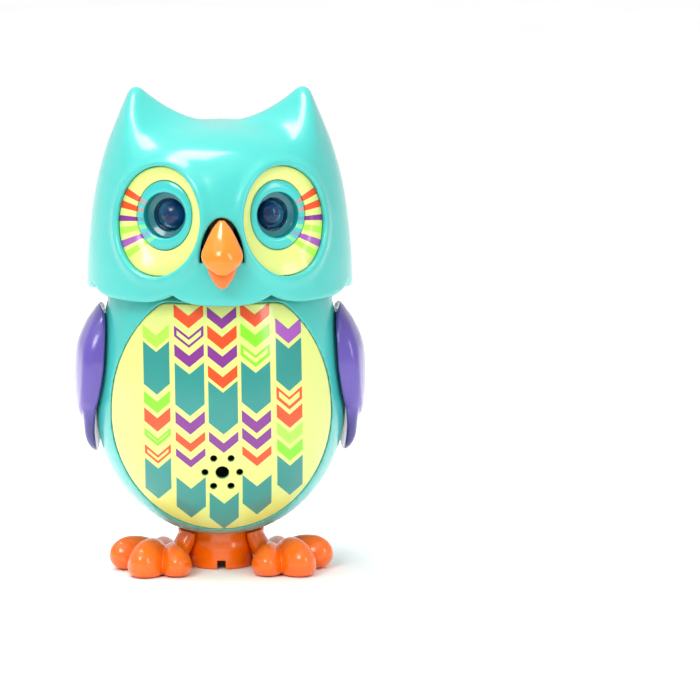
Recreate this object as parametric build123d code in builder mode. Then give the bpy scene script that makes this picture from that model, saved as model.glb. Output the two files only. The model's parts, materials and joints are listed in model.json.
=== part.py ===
"""A palm-sized talking owl toy in hard plastic: an egg-shaped body on two three-toed feet, a turning
head with lit eyes and a beak that opens, and two wings that flap.

Frame: +Z up, +X to the owl's left, and the owl faces -Y. The origin is on the floor, at the centre of
the round socket under the body, which the owl perches with. All sizes are in millimetres.
"""
import math
import os

from build123d import *

os.makedirs("parts", exist_ok=True)

# ---- body casing: an egg of revolution about Z, split front and rear at y = 0 ----
belt_z = 34.0            # height of the egg's widest ring
belt_r = 25.6
egg_low = 27.6           # from the widest ring down to the egg's lowest point
egg_high = 48.0          # and up to its highest, both cut off by the floor and the deck
floor_z = 7.6
deck_z = 58.6
body_wall = 1.8
deck_round = 1.4
slip = 0.15              # gap between pieces that are only fitted together
running = 0.05           # radial clearance of a shaft that turns in a hole

# ---- belly panel, inlaid in the front casing ----
belly_z = 34.0
belly_half_width = 22.3
belly_down = 24.6
belly_up = 27.3
belly_top_z = 57.2
inlay_depth = 0.9
sound_z = 23.2
sound_hole_r = 1.35
sound_ring_r = 3.48
sound_small_r = 0.7

# ---- head casing: revolved walls and a domed top, with two ear tufts ----
rim_z = 57.3
cheek_z = 61.0           # height of the head's widest ring
cheek_r = 27.0
brow_z = 74.0            # where the wall turns into the dome
brow_r = 26.1
dome_height = 17.6
dome_power = 3.0
head_wall = 1.6
rim_round = 1.3
cusp_height = 2.0        # the rim's scallops meet in cusps this high
cusp_half_width = 4.6
cusp_angles = (22, 74, 126, 180, -126, -74, -22)
ear_sections = (         # height, centre x, radius in x, radius in y
    (84.0, 16.2, 6.4, 8.4),
    (91.0, 14.9, 6.3, 6.0),
    (94.2, 15.0, 5.1, 4.4),
    (96.2, 16.0, 3.4, 3.0),
    (97.8, 16.6, 1.9, 1.7),
    (98.9, 16.8, 0.7, 0.6),
)

# ---- neck: hollow tube on the head, turning in a bush held by the body's deck ----
tube_r = 4.5
tube_bore_r = 2.6
bush_wall = 1.25
bush_r = tube_r + running + bush_wall
bush_bottom_z = 39.9
bush_collar_r = 8.6      # of the deck's own collar round the bush
bush_collar_z = 54.2
bush_flange_r = 7.2
bush_flange_z = 55.3
bush_flange_height = 1.0
coil_flange_r = 8.4
coil_flange_height = 0.8
clip_r = 6.4
clip_height = 0.7
tube_bottom_z = 38.2
washer_height = 0.7
base_plate_z = 61.2
base_plate_height = 1.6
base_plate_r = 24.1

# ---- drive train, module 0.5: motor pinion, idler wheel, idler pinion, head wheel ----
module = 0.5
pinion_teeth = 12
idler_teeth = 22
head_teeth = 48
backlash = 0.16
head_wheel_z = 59.4
head_wheel_height = base_plate_z - head_wheel_z
idler_wheel_z = 51.8
idler_wheel_height = 2.0
idler_y = module * (head_teeth + pinion_teeth) / 2
motor_distance = module * (idler_teeth + pinion_teeth) / 2
motor_angle = 20.0       # of the motor below the idler's own X line
motor_x = motor_distance * math.cos(math.radians(motor_angle))
motor_y = idler_y - motor_distance * math.sin(math.radians(motor_angle))
motor_r = 5.0
motor_height = 12.0
motor_shaft_r = 0.75
spindle_r = 1.0
gear_plate_z = 50.4
gear_plate_height = 1.0

# ---- wings ----
wing_pivot_x = 20.2
wing_pivot_z = 51.5
wing_pin_r = 0.75
wing_hub_r = 1.65
wing_arm_half_width = 2.2
lever_tip_x = 8.2
lever_tip_r = 0.75
lever_thickness = 0.7
flap_angle = 20.0
wing_top = (24.2, 54.5)      # outer face seen from the front, as x and z
wing_bulge = (29.7, 41.0)
wing_end = (25.9, 24.6)
wing_inner_top = (23.75, 54.6)
wing_inner_middle = (26.3, 37.0)
wing_inner_end = (25.3, 24.4)
feather_step = 0.6           # the lower feather lies this far under the upper one
feather_line_z = 30.8

# ---- lifter that raises both wings, with its coil and spring ----
lifter_low_z = 50.0
lifter_high_z = 53.0
lifter_r = 7.4
lifter_bore_r = bush_r + 0.1
lifter_travel = (wing_pivot_x - lever_tip_x) * math.sin(math.radians(flap_angle))
fork_reach = 9.9
fork_half_width = 2.2
fork_slot = 2 * lever_tip_r + 0.4
lift_magnet_height = 2.0
lift_coil_height = 3.0
spring_r = 6.5
spring_wire_r = 0.22
spring_turns = 5

# ---- feet and perch socket ----
socket_r = 5.7
socket_wall = 0.9
socket_depth = 4.6
socket_notch = 1.7
socket_notch_height = 1.8
neck_base_r = 5.2
base_screw_y = 3.5
leg_stub_x = 7.2
leg_stub_y = 1.5
leg_stub_r = 1.6

# ---- eyes ----
eye_azimuth = 24.0
eye_tilt = 4.0
eye_centre = (13.0, -22.65, 75.0)
dish_out = 0.5           # the dish's outline lies a little outwards and down from the lens
dish_drop = 1.1
eye_half_width = 9.45
eye_half_height = 11.0
dish_depth = 2.5         # from the eye's tangent plane to the dish's edge
ring_depth = 4.0         # and to the lens flange
ring_half_width = 6.1
ring_half_height = 7.1
dish_thickness = 0.9
cup_r = 4.6
cup_depth = 7.2
lens_wall = 0.8
pupil_r = 3.25
led_r = 1.5

# ---- beak ----
beak_pivot_y = -21.5
beak_pivot_z = 73.2
beak_pin_r = 0.6
beak_hub_r = 1.2
beak_root_half = 1.2
cheek_gap = 0.15
cheek_plate = 1.05
mouth_bottom_z = 66.1
mouth_half_width = 4.4
upper_beak_sections = (  # height, centre y, radius in x, radius in y
    (74.0, -26.4, 0.9, 1.2),
    (73.0, -27.0, 1.8, 2.2),
    (71.4, -27.9, 2.7, 3.1),
    (69.6, -28.8, 3.6, 3.7),
    (68.0, -29.7, 4.1, 3.4),
    (66.6, -30.7, 3.7, 2.5),
    (65.5, -31.5, 2.4, 1.5),
    (64.8, -32.1, 1.2, 0.7),
)
lower_beak_sections = (
    (66.6, -28.2, 2.9, 1.7),
    (65.0, -28.8, 2.8, 1.9),
    (63.2, -29.4, 1.9, 1.5),
    (61.9, -29.9, 0.8, 0.7),
)
tail_y = -15.5
beak_magnet_r = 1.6
beak_coil_r = 2.2
beak_coil_top_z = 66.6
beak_magnet_gap = 2.0    # the tail's magnet swings down by 1.6 when the beak is wide open
beak_magnet_height = 1.6

# ---- electronics ----
board_y = -6.6
board_thickness = 1.0
board_half_width = 13.0
board_low_z = 19.5
board_high_z = 38.0
eye_board_y = -12.2
eye_board_half_width = 17.0
eye_board_low_z = 70.0
eye_board_high_z = 84.0
speaker_r = 8.0
speaker_front_y = -15.8
speaker_depth = 3.0
cell_r = 5.8             # three LR44 button cells side by side on one axis
cell_thickness = 5.4
cell_y = 14.2
cell_z = 29.0
tray_wall = 1.0
tray_half_height = cell_r + 0.15
door_half_width = 12.0
door_low_z = 19.6
door_high_z = 40.6
door_thickness = 1.3
door_screw_z = 38.4
door_ledge = 1.2
switch_z = 47.4
switch_travel = 4.0
knob_half = 1.2

# ---- fasteners: self-tapping screws, 2 mm ----
screw_r = 0.95
screw_pilot_r = 1.0
screw_clear_r = 1.15
screw_head_r = 1.8
screw_head_height = 1.2
post_r = 2.2
rear_post_r = 3.0        # round the recessed screw heads
body_posts = ((18.3, 42.0), (-18.3, 42.0), (13.0, 16.0), (-13.0, 16.0))   # x, z
head_posts = ((20.4, 66.0), (-20.4, 66.0), (0.0, 87.0))
board_posts = ((10.5, 35.5), (-10.5, 35.5))
eye_board_posts = ((0.0, 77.9), (0.0, 82.2))
gear_posts = ((-8.8, 14.0), (15.6, 7.6))                                   # x, y
screw_seat = 5.0         # wall left under a casing screw's head, from the parting line
wire_r = 0.4


# The revolved casings have their seam at the back left, clear of every opening.
seam_plane = Plane(origin=(0, 0, 0), x_dir=(1, 1, 0), z_dir=(1, -1, 0))
egg_steps = 10
egg_taper = 0.985        # the egg stops short of its own lowest point


def write(builder, name):
    """Labels a finished piece and writes it as one STEP file."""
    builder.part.label = name
    export_step(builder.part, f"parts/{name}.step")


def egg(inset, low, high):
    """The body's egg with its surface moved in by inset, between two heights."""
    low = max(low, belt_z - egg_taper * (egg_low - inset))
    heights = [low + (high - low) * step / egg_steps for step in range(egg_steps + 1)]
    profile = [(egg_radius(z, inset), z) for z in heights]
    with BuildPart() as solid:
        with BuildSketch(seam_plane):
            with BuildLine():
                Spline(*profile)
                Polyline(profile[-1], (0, high), (0, low), profile[0])
            make_face()
        revolve(axis=Axis.Z)
    return solid.part


def egg_radius(z, inset=0.0):
    """Radius of the body's egg at height z, with its surface moved in by inset."""
    half = (egg_low if z < belt_z else egg_high) - inset
    return (belt_r - inset) * math.sqrt(max(0.0, 1 - ((z - belt_z) / half) ** 2))


def head_radius(z, inset=0.0):
    """Radius of the head's walls and dome at height z, with the surface moved in by inset."""
    if z <= brow_z:
        fall = max(0.0, (z - cheek_z) / (brow_z - cheek_z))
        return cheek_r - (cheek_r - brow_r) * fall**2 - inset
    share = min(1.0, (z - brow_z) / (dome_height - inset))
    return (brow_r - inset) * (1 - share**dome_power) ** (1 / dome_power)


def head_form(inset, low):
    """The head's dome and ears as one solid, moved in by inset, above height low."""
    wall_heights = [low, cheek_z, 66.0, 70.0, brow_z]
    dome_shares = (0.35, 0.6, 0.8, 0.93)
    heights = wall_heights + [brow_z + (dome_height - inset) * s for s in dome_shares]
    profile = [(head_radius(z, inset), z) for z in heights]
    crown = (0, brow_z + dome_height - inset)
    with BuildPart() as solid:
        with BuildSketch(seam_plane):
            with BuildLine():
                Spline(*profile, crown, tangents=((0, 1), (-1, 0)))
                Polyline(crown, (0, low), profile[0])
            make_face()
        revolve(axis=Axis.Z)
        for side in (1, -1):
            for height, centre, half_x, half_y in ear_sections:
                if min(half_x, half_y) - inset < 0.3:
                    continue
                with BuildSketch(Plane.XY.offset(height - inset)):
                    with Locations((side * centre, 0)):
                        Ellipse(half_x - inset, half_y - inset)
            loft()
    return solid.part


def rod(radius, start, end):
    """A round rod from one point to another."""
    with BuildPart() as solid:
        direction = Vector(*end) - Vector(*start)
        with BuildSketch(Plane(origin=start, z_dir=direction)):
            Circle(radius)
        extrude(amount=direction.length)
    return solid.part


def tube(radius, bore, start, end):
    """A round tube from one point to another."""
    with BuildPart() as solid:
        add(rod(radius, start, end))
        add(rod(bore, start, end), mode=Mode.SUBTRACT)
    return solid.part


def block(x, y, z):
    """A box given by its lowest and highest x, y and z."""
    with BuildPart() as solid:
        with Locations(((x[0] + x[1]) / 2, (y[0] + y[1]) / 2, (z[0] + z[1]) / 2)):
            Box(x[1] - x[0], y[1] - y[0], z[1] - z[0])
    return solid.part


def screw(head_top, direction, length):
    """A cross-head screw: the top of its head, the way its tip points, and its length under the head."""
    start = Vector(*head_top)
    way = Vector(*direction).normalized()
    seat = start + way * screw_head_height
    with BuildPart() as solid:
        add(rod(screw_head_r, tuple(start), tuple(seat)))
        add(rod(screw_r, tuple(seat), tuple(seat + way * length)))
        with BuildSketch(Plane(origin=start, z_dir=way)):
            Rectangle(1.9, 0.45)
            Rectangle(0.45, 1.9)
        extrude(amount=0.7, mode=Mode.SUBTRACT)
    return solid.part


def gear(teeth, centre, low, height, bore, turn):
    """An involute spur gear with a tooth centred at angle turn, in degrees, from +X."""
    pitch_r = module * teeth / 2
    base_r = pitch_r * math.cos(math.radians(20))
    tip_r = pitch_r + 0.9 * module
    root_r = pitch_r - 1.15 * module
    involute = lambda r: math.tan(math.acos(base_r / r)) - math.acos(base_r / r)
    half_pitch = math.pi / (2 * teeth) - backlash / (4 * pitch_r) + involute(pitch_r)
    flank_r = [max(base_r, root_r) * (1 - s) + tip_r * s for s in (0.02, 0.35, 0.7, 1.0)]
    points = []
    for tooth in range(teeth):
        middle = math.radians(turn) + 2 * math.pi * tooth / teeth
        halves = [(r, half_pitch - involute(r)) for r in flank_r]
        rise = [(root_r, halves[0][1])] + halves
        points += [(r, middle - half) for r, half in rise]
        points += [(r, middle + half) for r, half in reversed(rise)]
    with BuildPart() as solid:
        with BuildSketch(Plane.XY.offset(low)):
            with BuildLine():
                corners = [(centre[0] + r * math.cos(a), centre[1] + r * math.sin(a)) for r, a in points]
                Polyline(*corners, close=True)
            make_face()
            with Locations(centre):
                Circle(bore, mode=Mode.SUBTRACT)
        extrude(amount=height)
    return solid.part


def wire(points):
    """A round wire along straight runs joined by arcs as large as the runs allow."""
    corners = []
    for before, here, after in zip(points, points[1:], points[2:]):
        arriving = Vector(*here) - Vector(*before)
        leaving = Vector(*after) - Vector(*here)
        turn = math.radians(arriving.get_angle(leaving))
        corners.append(0.45 * min(arriving.length, leaving.length) / math.tan(turn / 2))
    with BuildPart() as solid:
        with BuildLine() as route:
            FilletPolyline(*points, radius=corners)
        start = Vector(*points[0])
        with BuildSketch(Plane(origin=start, z_dir=Vector(*points[1]) - start)):
            Circle(wire_r)
        sweep(path=route.line)
    return solid.part


# =====================================================================================
# Body casing
# =====================================================================================
body_form = egg(0, floor_z, deck_z)
inside_form = egg(body_wall, floor_z + body_wall, deck_z - 1.6)
deck_under_z = deck_z - 1.6

with BuildPart() as casing:
    add(body_form)
    fillet(casing.faces().sort_by(Axis.Z)[-1].edges(), deck_round)
    add(inside_form, mode=Mode.SUBTRACT)
    add(tube(bush_collar_r, bush_r, (0, 0, bush_collar_z), (0, 0, deck_under_z)))
    add(rod(bush_r + running, (0, 0, bush_collar_z), (0, 0, deck_z)), mode=Mode.SUBTRACT)
    groove_low = bush_flange_z - running
    groove_high = bush_flange_z + bush_flange_height + running
    add(rod(bush_flange_r + slip, (0, 0, groove_low), (0, 0, groove_high)), mode=Mode.SUBTRACT)
    add(rod(spindle_r + running, (0, idler_y, deck_under_z), (0, idler_y, deck_z)), mode=Mode.SUBTRACT)
    for side in (1, -1):
        slot_x = sorted((side * 18.0, side * 30.0))
        for end in (1, -1):
            boss_y = sorted((end * 3.5, end * 6.2))
            boss_x = sorted((side * 18.6, side * egg_radius(wing_pivot_z, 1.0)))
            add(block(boss_x, boss_y, (49.8, 53.2)))
        pin_ends = [(side * wing_pivot_x, y, wing_pivot_z) for y in (-5.6, 5.6)]
        add(rod(wing_pin_r, *pin_ends), mode=Mode.SUBTRACT)
        add(block(slot_x, (-3.0, 3.0), (49.4, 54.7)), mode=Mode.SUBTRACT)
        leg_hole = (side * leg_stub_x, -leg_stub_y)
        add(rod(leg_stub_r + slip, (*leg_hole, 0), (*leg_hole, 13.0)), mode=Mode.SUBTRACT)
    for end in (1, -1):
        add(rod(2.2, (0, end * base_screw_y, floor_z + 1), (0, end * base_screw_y, 15.0)))
        pilot = rod(screw_pilot_r, (0, end * base_screw_y, floor_z), (0, end * base_screw_y, 13.6))
        add(pilot, mode=Mode.SUBTRACT)
casing_halves = {}
for name, keep in (("front", Keep.TOP), ("rear", Keep.BOTTOM)):
    with BuildPart() as half:
        add(casing.part)
        split(bisect_by=Plane.XZ, keep=keep)
    casing_halves[name] = half.part


def belly_slice(outer_inset, inner_inset, margin):
    """The part of the egg's skin inside the belly outline, which is drawn in by margin."""
    width = belly_half_width - margin
    with BuildPart() as solid:
        add(egg(outer_inset, floor_z + 0.5, belly_top_z - margin))
        add(egg(inner_inset, floor_z, deck_z), mode=Mode.SUBTRACT)
        with BuildSketch(Plane.XZ):
            with BuildLine():
                EllipticalCenterArc((0, belly_z), width, belly_down - margin, start_angle=180, arc_size=180)
                EllipticalCenterArc((0, belly_z), width, belly_up - margin, start_angle=0, arc_size=180)
            make_face()
        extrude(amount=2 * belt_r, mode=Mode.INTERSECT)
    return solid.part


with BuildPart() as sound_drills:
    with BuildSketch(Plane.XZ):
        with Locations((0, sound_z)):
            Circle(sound_hole_r)
            with PolarLocations(sound_ring_r, 6):
                Circle(sound_small_r)
    extrude(amount=2 * belt_r)

inner_skin = egg(body_wall - 0.6, floor_z, deck_z)
with BuildPart() as front_posts:
    for x, z in body_posts:
        add(rod(post_r, (x, -30, z), (x, 0, z)))
    for x, z in board_posts:
        add(rod(1.7, (x, -30, z), (x, board_y, z)))
    add(tube(speaker_r + 1.3, speaker_r + 0.1, (0, -30, sound_z), (0, speaker_front_y + 2.2, sound_z)))
    add(inner_skin, mode=Mode.INTERSECT)

with BuildPart() as body_front_shell:
    add(casing_halves["front"])
    add(front_posts.part)
    add(belly_slice(-1.0, inlay_depth + 0.1, 0), mode=Mode.SUBTRACT)
    add(sound_drills.part, mode=Mode.SUBTRACT)
    for x, z in body_posts:
        add(rod(screw_pilot_r, (x, -9.0, z), (x, 0, z)), mode=Mode.SUBTRACT)
    for x, z in board_posts:
        add(rod(screw_pilot_r, (x, board_y - 6.0, z), (x, board_y, z)), mode=Mode.SUBTRACT)
write(body_front_shell, "body_front_shell")

with BuildPart() as belly_panel:
    add(belly_slice(0, inlay_depth, slip))
    add(sound_drills.part, mode=Mode.SUBTRACT)
write(belly_panel, "belly_panel")


def door_slice(outer_inset, inner_inset, margin):
    """The part of the egg's skin inside the battery door's outline, which is drawn in by margin."""
    with BuildPart() as solid:
        add(egg(outer_inset, floor_z + 2, deck_z - 2))
        add(egg(inner_inset, floor_z, deck_z), mode=Mode.SUBTRACT)
        with BuildSketch(Plane.XZ.offset(-2 * belt_r)):
            with Locations((0, (door_low_z + door_high_z) / 2)):
                RectangleRounded(2 * (door_half_width - margin), door_high_z - door_low_z - 2 * margin, 2.4)
        extrude(amount=2 * belt_r, mode=Mode.INTERSECT)
    return solid.part


door_boss_y = egg_radius(door_screw_z, body_wall) - 7.0
with BuildPart() as rear_posts:
    for x, z in body_posts:
        add(rod(rear_post_r, (x, 0, z), (x, 30, z)))
    for x, y in gear_posts:
        add(rod(1.6, (x, y, gear_plate_z + gear_plate_height), (x, y, deck_under_z + 0.5)))
    add(rod(2.3, (0, door_boss_y, door_screw_z), (0, 30, door_screw_z)))
    add(block((-2.3, 2.3), (door_boss_y, 30), (door_screw_z, door_screw_z + 3.4)))
    add(inner_skin, mode=Mode.INTERSECT)

peg_x = 7.5
peg_z = door_low_z + 1.3
with BuildPart() as body_rear_shell:
    add(casing_halves["rear"])
    add(rear_posts.part)
    for x, z in body_posts:
        add(rod(screw_clear_r, (x, 0, z), (x, 30, z)), mode=Mode.SUBTRACT)
        add(rod(screw_head_r + 0.3, (x, screw_seat, z), (x, 30, z)), mode=Mode.SUBTRACT)
    add(door_slice(-1.0, door_thickness + 0.1, 0), mode=Mode.SUBTRACT)
    window_low = cell_z - tray_half_height
    window_high = cell_z + tray_half_height
    with BuildSketch(Plane.XZ.offset(-6)):
        with Locations((0, (window_low + window_high) / 2)):
            Rectangle(2 * (door_half_width - door_ledge), window_high - window_low)
    extrude(amount=-30, mode=Mode.SUBTRACT)
    add(rod(screw_pilot_r, (0, door_boss_y + 0.5, door_screw_z), (0, 30, door_screw_z)), mode=Mode.SUBTRACT)
    for side in (1, -1):
        add(rod(0.85, (side * peg_x, 10, peg_z), (side * peg_x, 30, peg_z)), mode=Mode.SUBTRACT)
    for x, y in gear_posts:
        top = gear_plate_z + gear_plate_height
        add(rod(screw_pilot_r, (x, y, top), (x, y, top + 4.5)), mode=Mode.SUBTRACT)
    knob_reach = switch_travel / 2 + knob_half + 0.25
    add(block((-knob_reach, knob_reach), (15, 30), (switch_z - 1.15, switch_z + 1.15)), mode=Mode.SUBTRACT)
write(body_rear_shell, "body_rear_shell")

with BuildPart() as battery_door:
    add(door_slice(0, door_thickness, slip))
    for side in (1, -1):
        peg_y = math.sqrt(egg_radius(peg_z, 0.6) ** 2 - peg_x**2)
        add(rod(0.7, (side * peg_x, peg_y - 2.4, peg_z), (side * peg_x, peg_y, peg_z)))
    add(rod(screw_clear_r, (0, 10, door_screw_z), (0, 30, door_screw_z)), mode=Mode.SUBTRACT)
    door_face_y = egg_radius(door_screw_z)
    head_recess = rod(screw_head_r + 0.25, (0, door_face_y - 0.7, door_screw_z), (0, 30, door_screw_z))
    add(head_recess, mode=Mode.SUBTRACT)
write(battery_door, "battery_door")

with BuildPart() as battery_door_screw:
    add(screw((0, door_face_y - 0.7 + screw_head_height, door_screw_z), (0, -1, 0), 5.4))
write(battery_door_screw, "battery_door_screw")

with BuildPart() as body_screws:
    for x, z in body_posts:
        add(screw((x, screw_seat + screw_head_height, z), (0, -1, 0), 10.5))
write(body_screws, "body_screws")

# =====================================================================================
# Feet and perch socket
# =====================================================================================
with BuildPart() as perch_base:
    add(rod(socket_r + socket_wall, (0, 0, 0), (0, 0, socket_depth + 0.8)))
    fillet(perch_base.faces().sort_by(Axis.Z)[-1].edges(), 0.75)
    add(rod(neck_base_r, (0, 0, socket_depth), (0, 0, floor_z)))
    add(rod(socket_r, (0, 0, 0), (0, 0, socket_depth)), mode=Mode.SUBTRACT)
    notch_y = socket_r + socket_wall + 1
    notch_x = (-socket_notch / 2, socket_notch / 2)
    add(block(notch_x, (-notch_y, notch_y), (0, socket_notch_height)), mode=Mode.SUBTRACT)
    for end in (1, -1):
        screw_at = (0, end * base_screw_y)
        add(rod(screw_clear_r, (*screw_at, socket_depth), (*screw_at, floor_z)), mode=Mode.SUBTRACT)
        head_recess = rod(screw_head_r + 0.2, (*screw_at, socket_depth), (*screw_at, socket_depth + 1.4))
        add(head_recess, mode=Mode.SUBTRACT)
write(perch_base, "perch_base")

with BuildPart() as base_screws:
    for end in (1, -1):
        add(screw((0, end * base_screw_y, socket_depth + 1.4 - screw_head_height), (0, 0, 1), 7.0))
write(base_screws, "base_screws")


def toe(heel, tip, half_width, half_height):
    """One toe as an egg lying from heel to tip, cut flat by the floor."""
    start = Vector(*heel)
    along = Vector(*tip) - start
    length = along.length
    with BuildPart() as solid:
        plane = Plane(origin=start, x_dir=along, z_dir=along.cross(Vector(0, 0, 1)))
        with BuildSketch(plane):
            with BuildLine():
                EllipticalCenterArc((length * 0.6, 0), length * 0.4, half_width, start_angle=0, arc_size=90)
                EllipticalCenterArc((length * 0.6, 0), length * 0.6, half_width, start_angle=90, arc_size=90)
                Line((0, 0), (length, 0))
            make_face()
        revolve(axis=Axis(origin=start, direction=along))
        add(block((-40, 40), (-40, 40), (0, 2 * half_height)), mode=Mode.INTERSECT)
    return solid.part


toes = (                 # back end, tip, half width: inner, middle and outer toe, then the hind toe
    ((9.6, -4.0, 4.6), (8.9, -17.2, 2.0), 3.3),
    ((12.4, -4.2, 5.0), (17.4, -18.4, 2.3), 3.85),
    ((13.0, -2.5, 4.6), (23.0, -11.0, 2.2), 3.6),
    ((10.5, -2.0, 3.8), (12.5, 13.5, 1.6), 2.9),
)
leg_top_z = floor_z + 4.5
body_clearance = egg(-slip, 0, deck_z)
for side, name in ((1, "foot_left"), (-1, "foot_right")):
    with BuildPart() as foot:
        for heel, tip, half_width in toes:
            mirrored = [(side * p[0], p[1], p[2]) for p in (heel, tip)]
            add(toe(*mirrored, half_width, 8.0))
        with BuildSketch(Plane.XY.offset(2.2)):
            with Locations((side * 11.6, -3.6)):
                Ellipse(3.4, 3.6)
        with BuildSketch(Plane.XY.offset(leg_top_z)):
            with Locations((side * leg_stub_x, -leg_stub_y)):
                Ellipse(2.5, 2.7)
        loft()
        add(body_clearance, mode=Mode.SUBTRACT)
        add(rod(socket_r + socket_wall + slip, (0, 0, -1), (0, 0, 30)), mode=Mode.SUBTRACT)
        stub = (side * leg_stub_x, -leg_stub_y)
        add(rod(leg_stub_r, (*stub, floor_z - 0.6), (*stub, floor_z + 3.4)))
    write(foot, name)

# =====================================================================================
# Neck bush, washer and clip
# =====================================================================================
with BuildPart() as neck_bush:
    add(rod(bush_r, (0, 0, bush_bottom_z), (0, 0, deck_z - 0.2)))
    add(rod(bush_flange_r, (0, 0, bush_flange_z), (0, 0, bush_flange_z + bush_flange_height)))
    add(rod(coil_flange_r, (0, 0, bush_bottom_z), (0, 0, bush_bottom_z + coil_flange_height)))
    add(rod(tube_r + running, (0, 0, bush_bottom_z), (0, 0, deck_z)), mode=Mode.SUBTRACT)
write(neck_bush, "neck_bush")

with BuildPart() as neck_washer:
    add(tube(9.6, 6.0, (0, 0, deck_z), (0, 0, deck_z + washer_height)))
write(neck_washer, "neck_washer")

clip_z = bush_bottom_z - slip - clip_height
clip_groove_r = tube_r - 0.6
with BuildPart() as neck_clip:
    add(tube(clip_r, clip_groove_r + 0.05, (0, 0, clip_z), (0, 0, clip_z + clip_height)))
    add(block((-2.4, 2.4), (0, 10), (clip_z, clip_z + clip_height)), mode=Mode.SUBTRACT)
write(neck_clip, "neck_clip")

key_half = 2.0
key_depth = 2.5
with BuildPart() as head_base_plate:
    add(rod(base_plate_r, (0, 0, base_plate_z), (0, 0, base_plate_z + base_plate_height)))
    add(rod(tube_r, (0, 0, tube_bottom_z), (0, 0, base_plate_z)))
    add(rod(tube_bore_r, (0, 0, 0), (0, 0, 70)), mode=Mode.SUBTRACT)
    groove_ends = ((0, 0, clip_z - 0.05), (0, 0, clip_z + clip_height + 0.05))
    add(tube(tube_r + 1, clip_groove_r, *groove_ends), mode=Mode.SUBTRACT)
    key_y = base_plate_r - key_depth
    add(block((-key_half - slip, key_half + slip), (key_y, 40), (60, 64)), mode=Mode.SUBTRACT)
write(head_base_plate, "head_base_plate")

# =====================================================================================
# Drive train
# =====================================================================================
mesh_down = 270.0                          # the idler pinion meets the head wheel towards -Y
with BuildPart() as neck_ring_gear:
    add(gear(head_teeth, (0, 0), head_wheel_z, head_wheel_height, tube_r + 0.05, 90))
write(neck_ring_gear, "neck_ring_gear")

wheel_to_motor = -motor_angle
with BuildPart() as idler_gear:
    add(rod(spindle_r, (0, idler_y, gear_plate_z - 0.6), (0, idler_y, base_plate_z - 0.3)))
    add(gear(idler_teeth, (0, idler_y), idler_wheel_z, idler_wheel_height, 0.3, wheel_to_motor))
    pinion_turn = mesh_down + 180.0 / pinion_teeth
    add(gear(pinion_teeth, (0, idler_y), head_wheel_z, head_wheel_height - 0.4, 0.3, pinion_turn))
write(idler_gear, "idler_gear")

with BuildPart() as motor_pinion:
    facing = wheel_to_motor + 180.0 + 180.0 / pinion_teeth
    pinion_top = idler_wheel_z + 2.4
    add(gear(pinion_teeth, (motor_x, motor_y), idler_wheel_z, idler_wheel_height, motor_shaft_r, facing))
    add(rod(motor_shaft_r, (motor_x, motor_y, gear_plate_z + 0.1), (motor_x, motor_y, pinion_top)))
write(motor_pinion, "motor_pinion")

motor_low = gear_plate_z - motor_height
with BuildPart() as head_motor:
    add(rod(motor_r, (motor_x, motor_y, motor_low), (motor_x, motor_y, gear_plate_z)))
    fillet(head_motor.edges().filter_by(GeomType.CIRCLE), 0.6)
    add(rod(1.9, (motor_x, motor_y, motor_low - 0.7), (motor_x, motor_y, motor_low)))
    for side in (1, -1):
        pin_x = motor_x + side * 3.2
        add(block((pin_x - 0.5, pin_x + 0.5), (motor_y - 0.2, motor_y + 0.2), (motor_low - 1.1, motor_low)))
    add(rod(motor_shaft_r + running, (motor_x, motor_y, gear_plate_z - 4), (motor_x, motor_y, gear_plate_z)),
        mode=Mode.SUBTRACT)
write(head_motor, "head_motor")

with BuildPart() as gear_plate:
    with BuildSketch(Plane.XY.offset(gear_plate_z)):
        with Locations(*gear_posts, (0, idler_y)):
            Circle(2.4)
        with Locations((motor_x, motor_y)):
            Circle(motor_r)
        make_hull()
    extrude(amount=gear_plate_height)
    top = gear_plate_z + gear_plate_height
    add(rod(spindle_r + running, (0, idler_y, gear_plate_z), (0, idler_y, top)), mode=Mode.SUBTRACT)
    shaft_hole = rod(motor_shaft_r + 0.4, (motor_x, motor_y, gear_plate_z), (motor_x, motor_y, top))
    add(shaft_hole, mode=Mode.SUBTRACT)
    for x, y in gear_posts:
        add(rod(screw_clear_r, (x, y, gear_plate_z), (x, y, top)), mode=Mode.SUBTRACT)
write(gear_plate, "gear_plate")

with BuildPart() as gear_plate_screws:
    for x, y in gear_posts:
        add(screw((x, y, gear_plate_z - screw_head_height), (0, 0, 1), 4.6))
write(gear_plate_screws, "gear_plate_screws")

# =====================================================================================
# Wing lifter
# =====================================================================================
with BuildPart() as wing_lifter:
    add(rod(lifter_r, (0, 0, lifter_low_z), (0, 0, lifter_high_z)))
    for side in (1, -1):
        fork_x = sorted((side * (lifter_r - 1.2), side * fork_reach))
        add(block(fork_x, (-fork_half_width, fork_half_width), (lifter_low_z, lifter_high_z)))
        slot_x = sorted((side * (lifter_r - 0.15), side * (fork_reach + 1)))
        slot_z = (wing_pivot_z - fork_slot / 2, wing_pivot_z + fork_slot / 2)
        add(block(slot_x, (-fork_half_width, fork_half_width), slot_z), mode=Mode.SUBTRACT)
    add(rod(lifter_bore_r, (0, 0, 0), (0, 0, 60)), mode=Mode.SUBTRACT)
write(wing_lifter, "wing_lifter")

magnet_z = lifter_low_z - lift_magnet_height
with BuildPart() as wing_magnet:
    add(tube(coil_flange_r, lifter_bore_r + 0.1, (0, 0, magnet_z), (0, 0, lifter_low_z)))
write(wing_magnet, "wing_magnet")

coil_z = bush_bottom_z + coil_flange_height
with BuildPart() as wing_coil:
    add(tube(coil_flange_r, spring_r + 0.5, (0, 0, coil_z), (0, 0, coil_z + lift_coil_height)))
write(wing_coil, "wing_coil")

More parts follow.
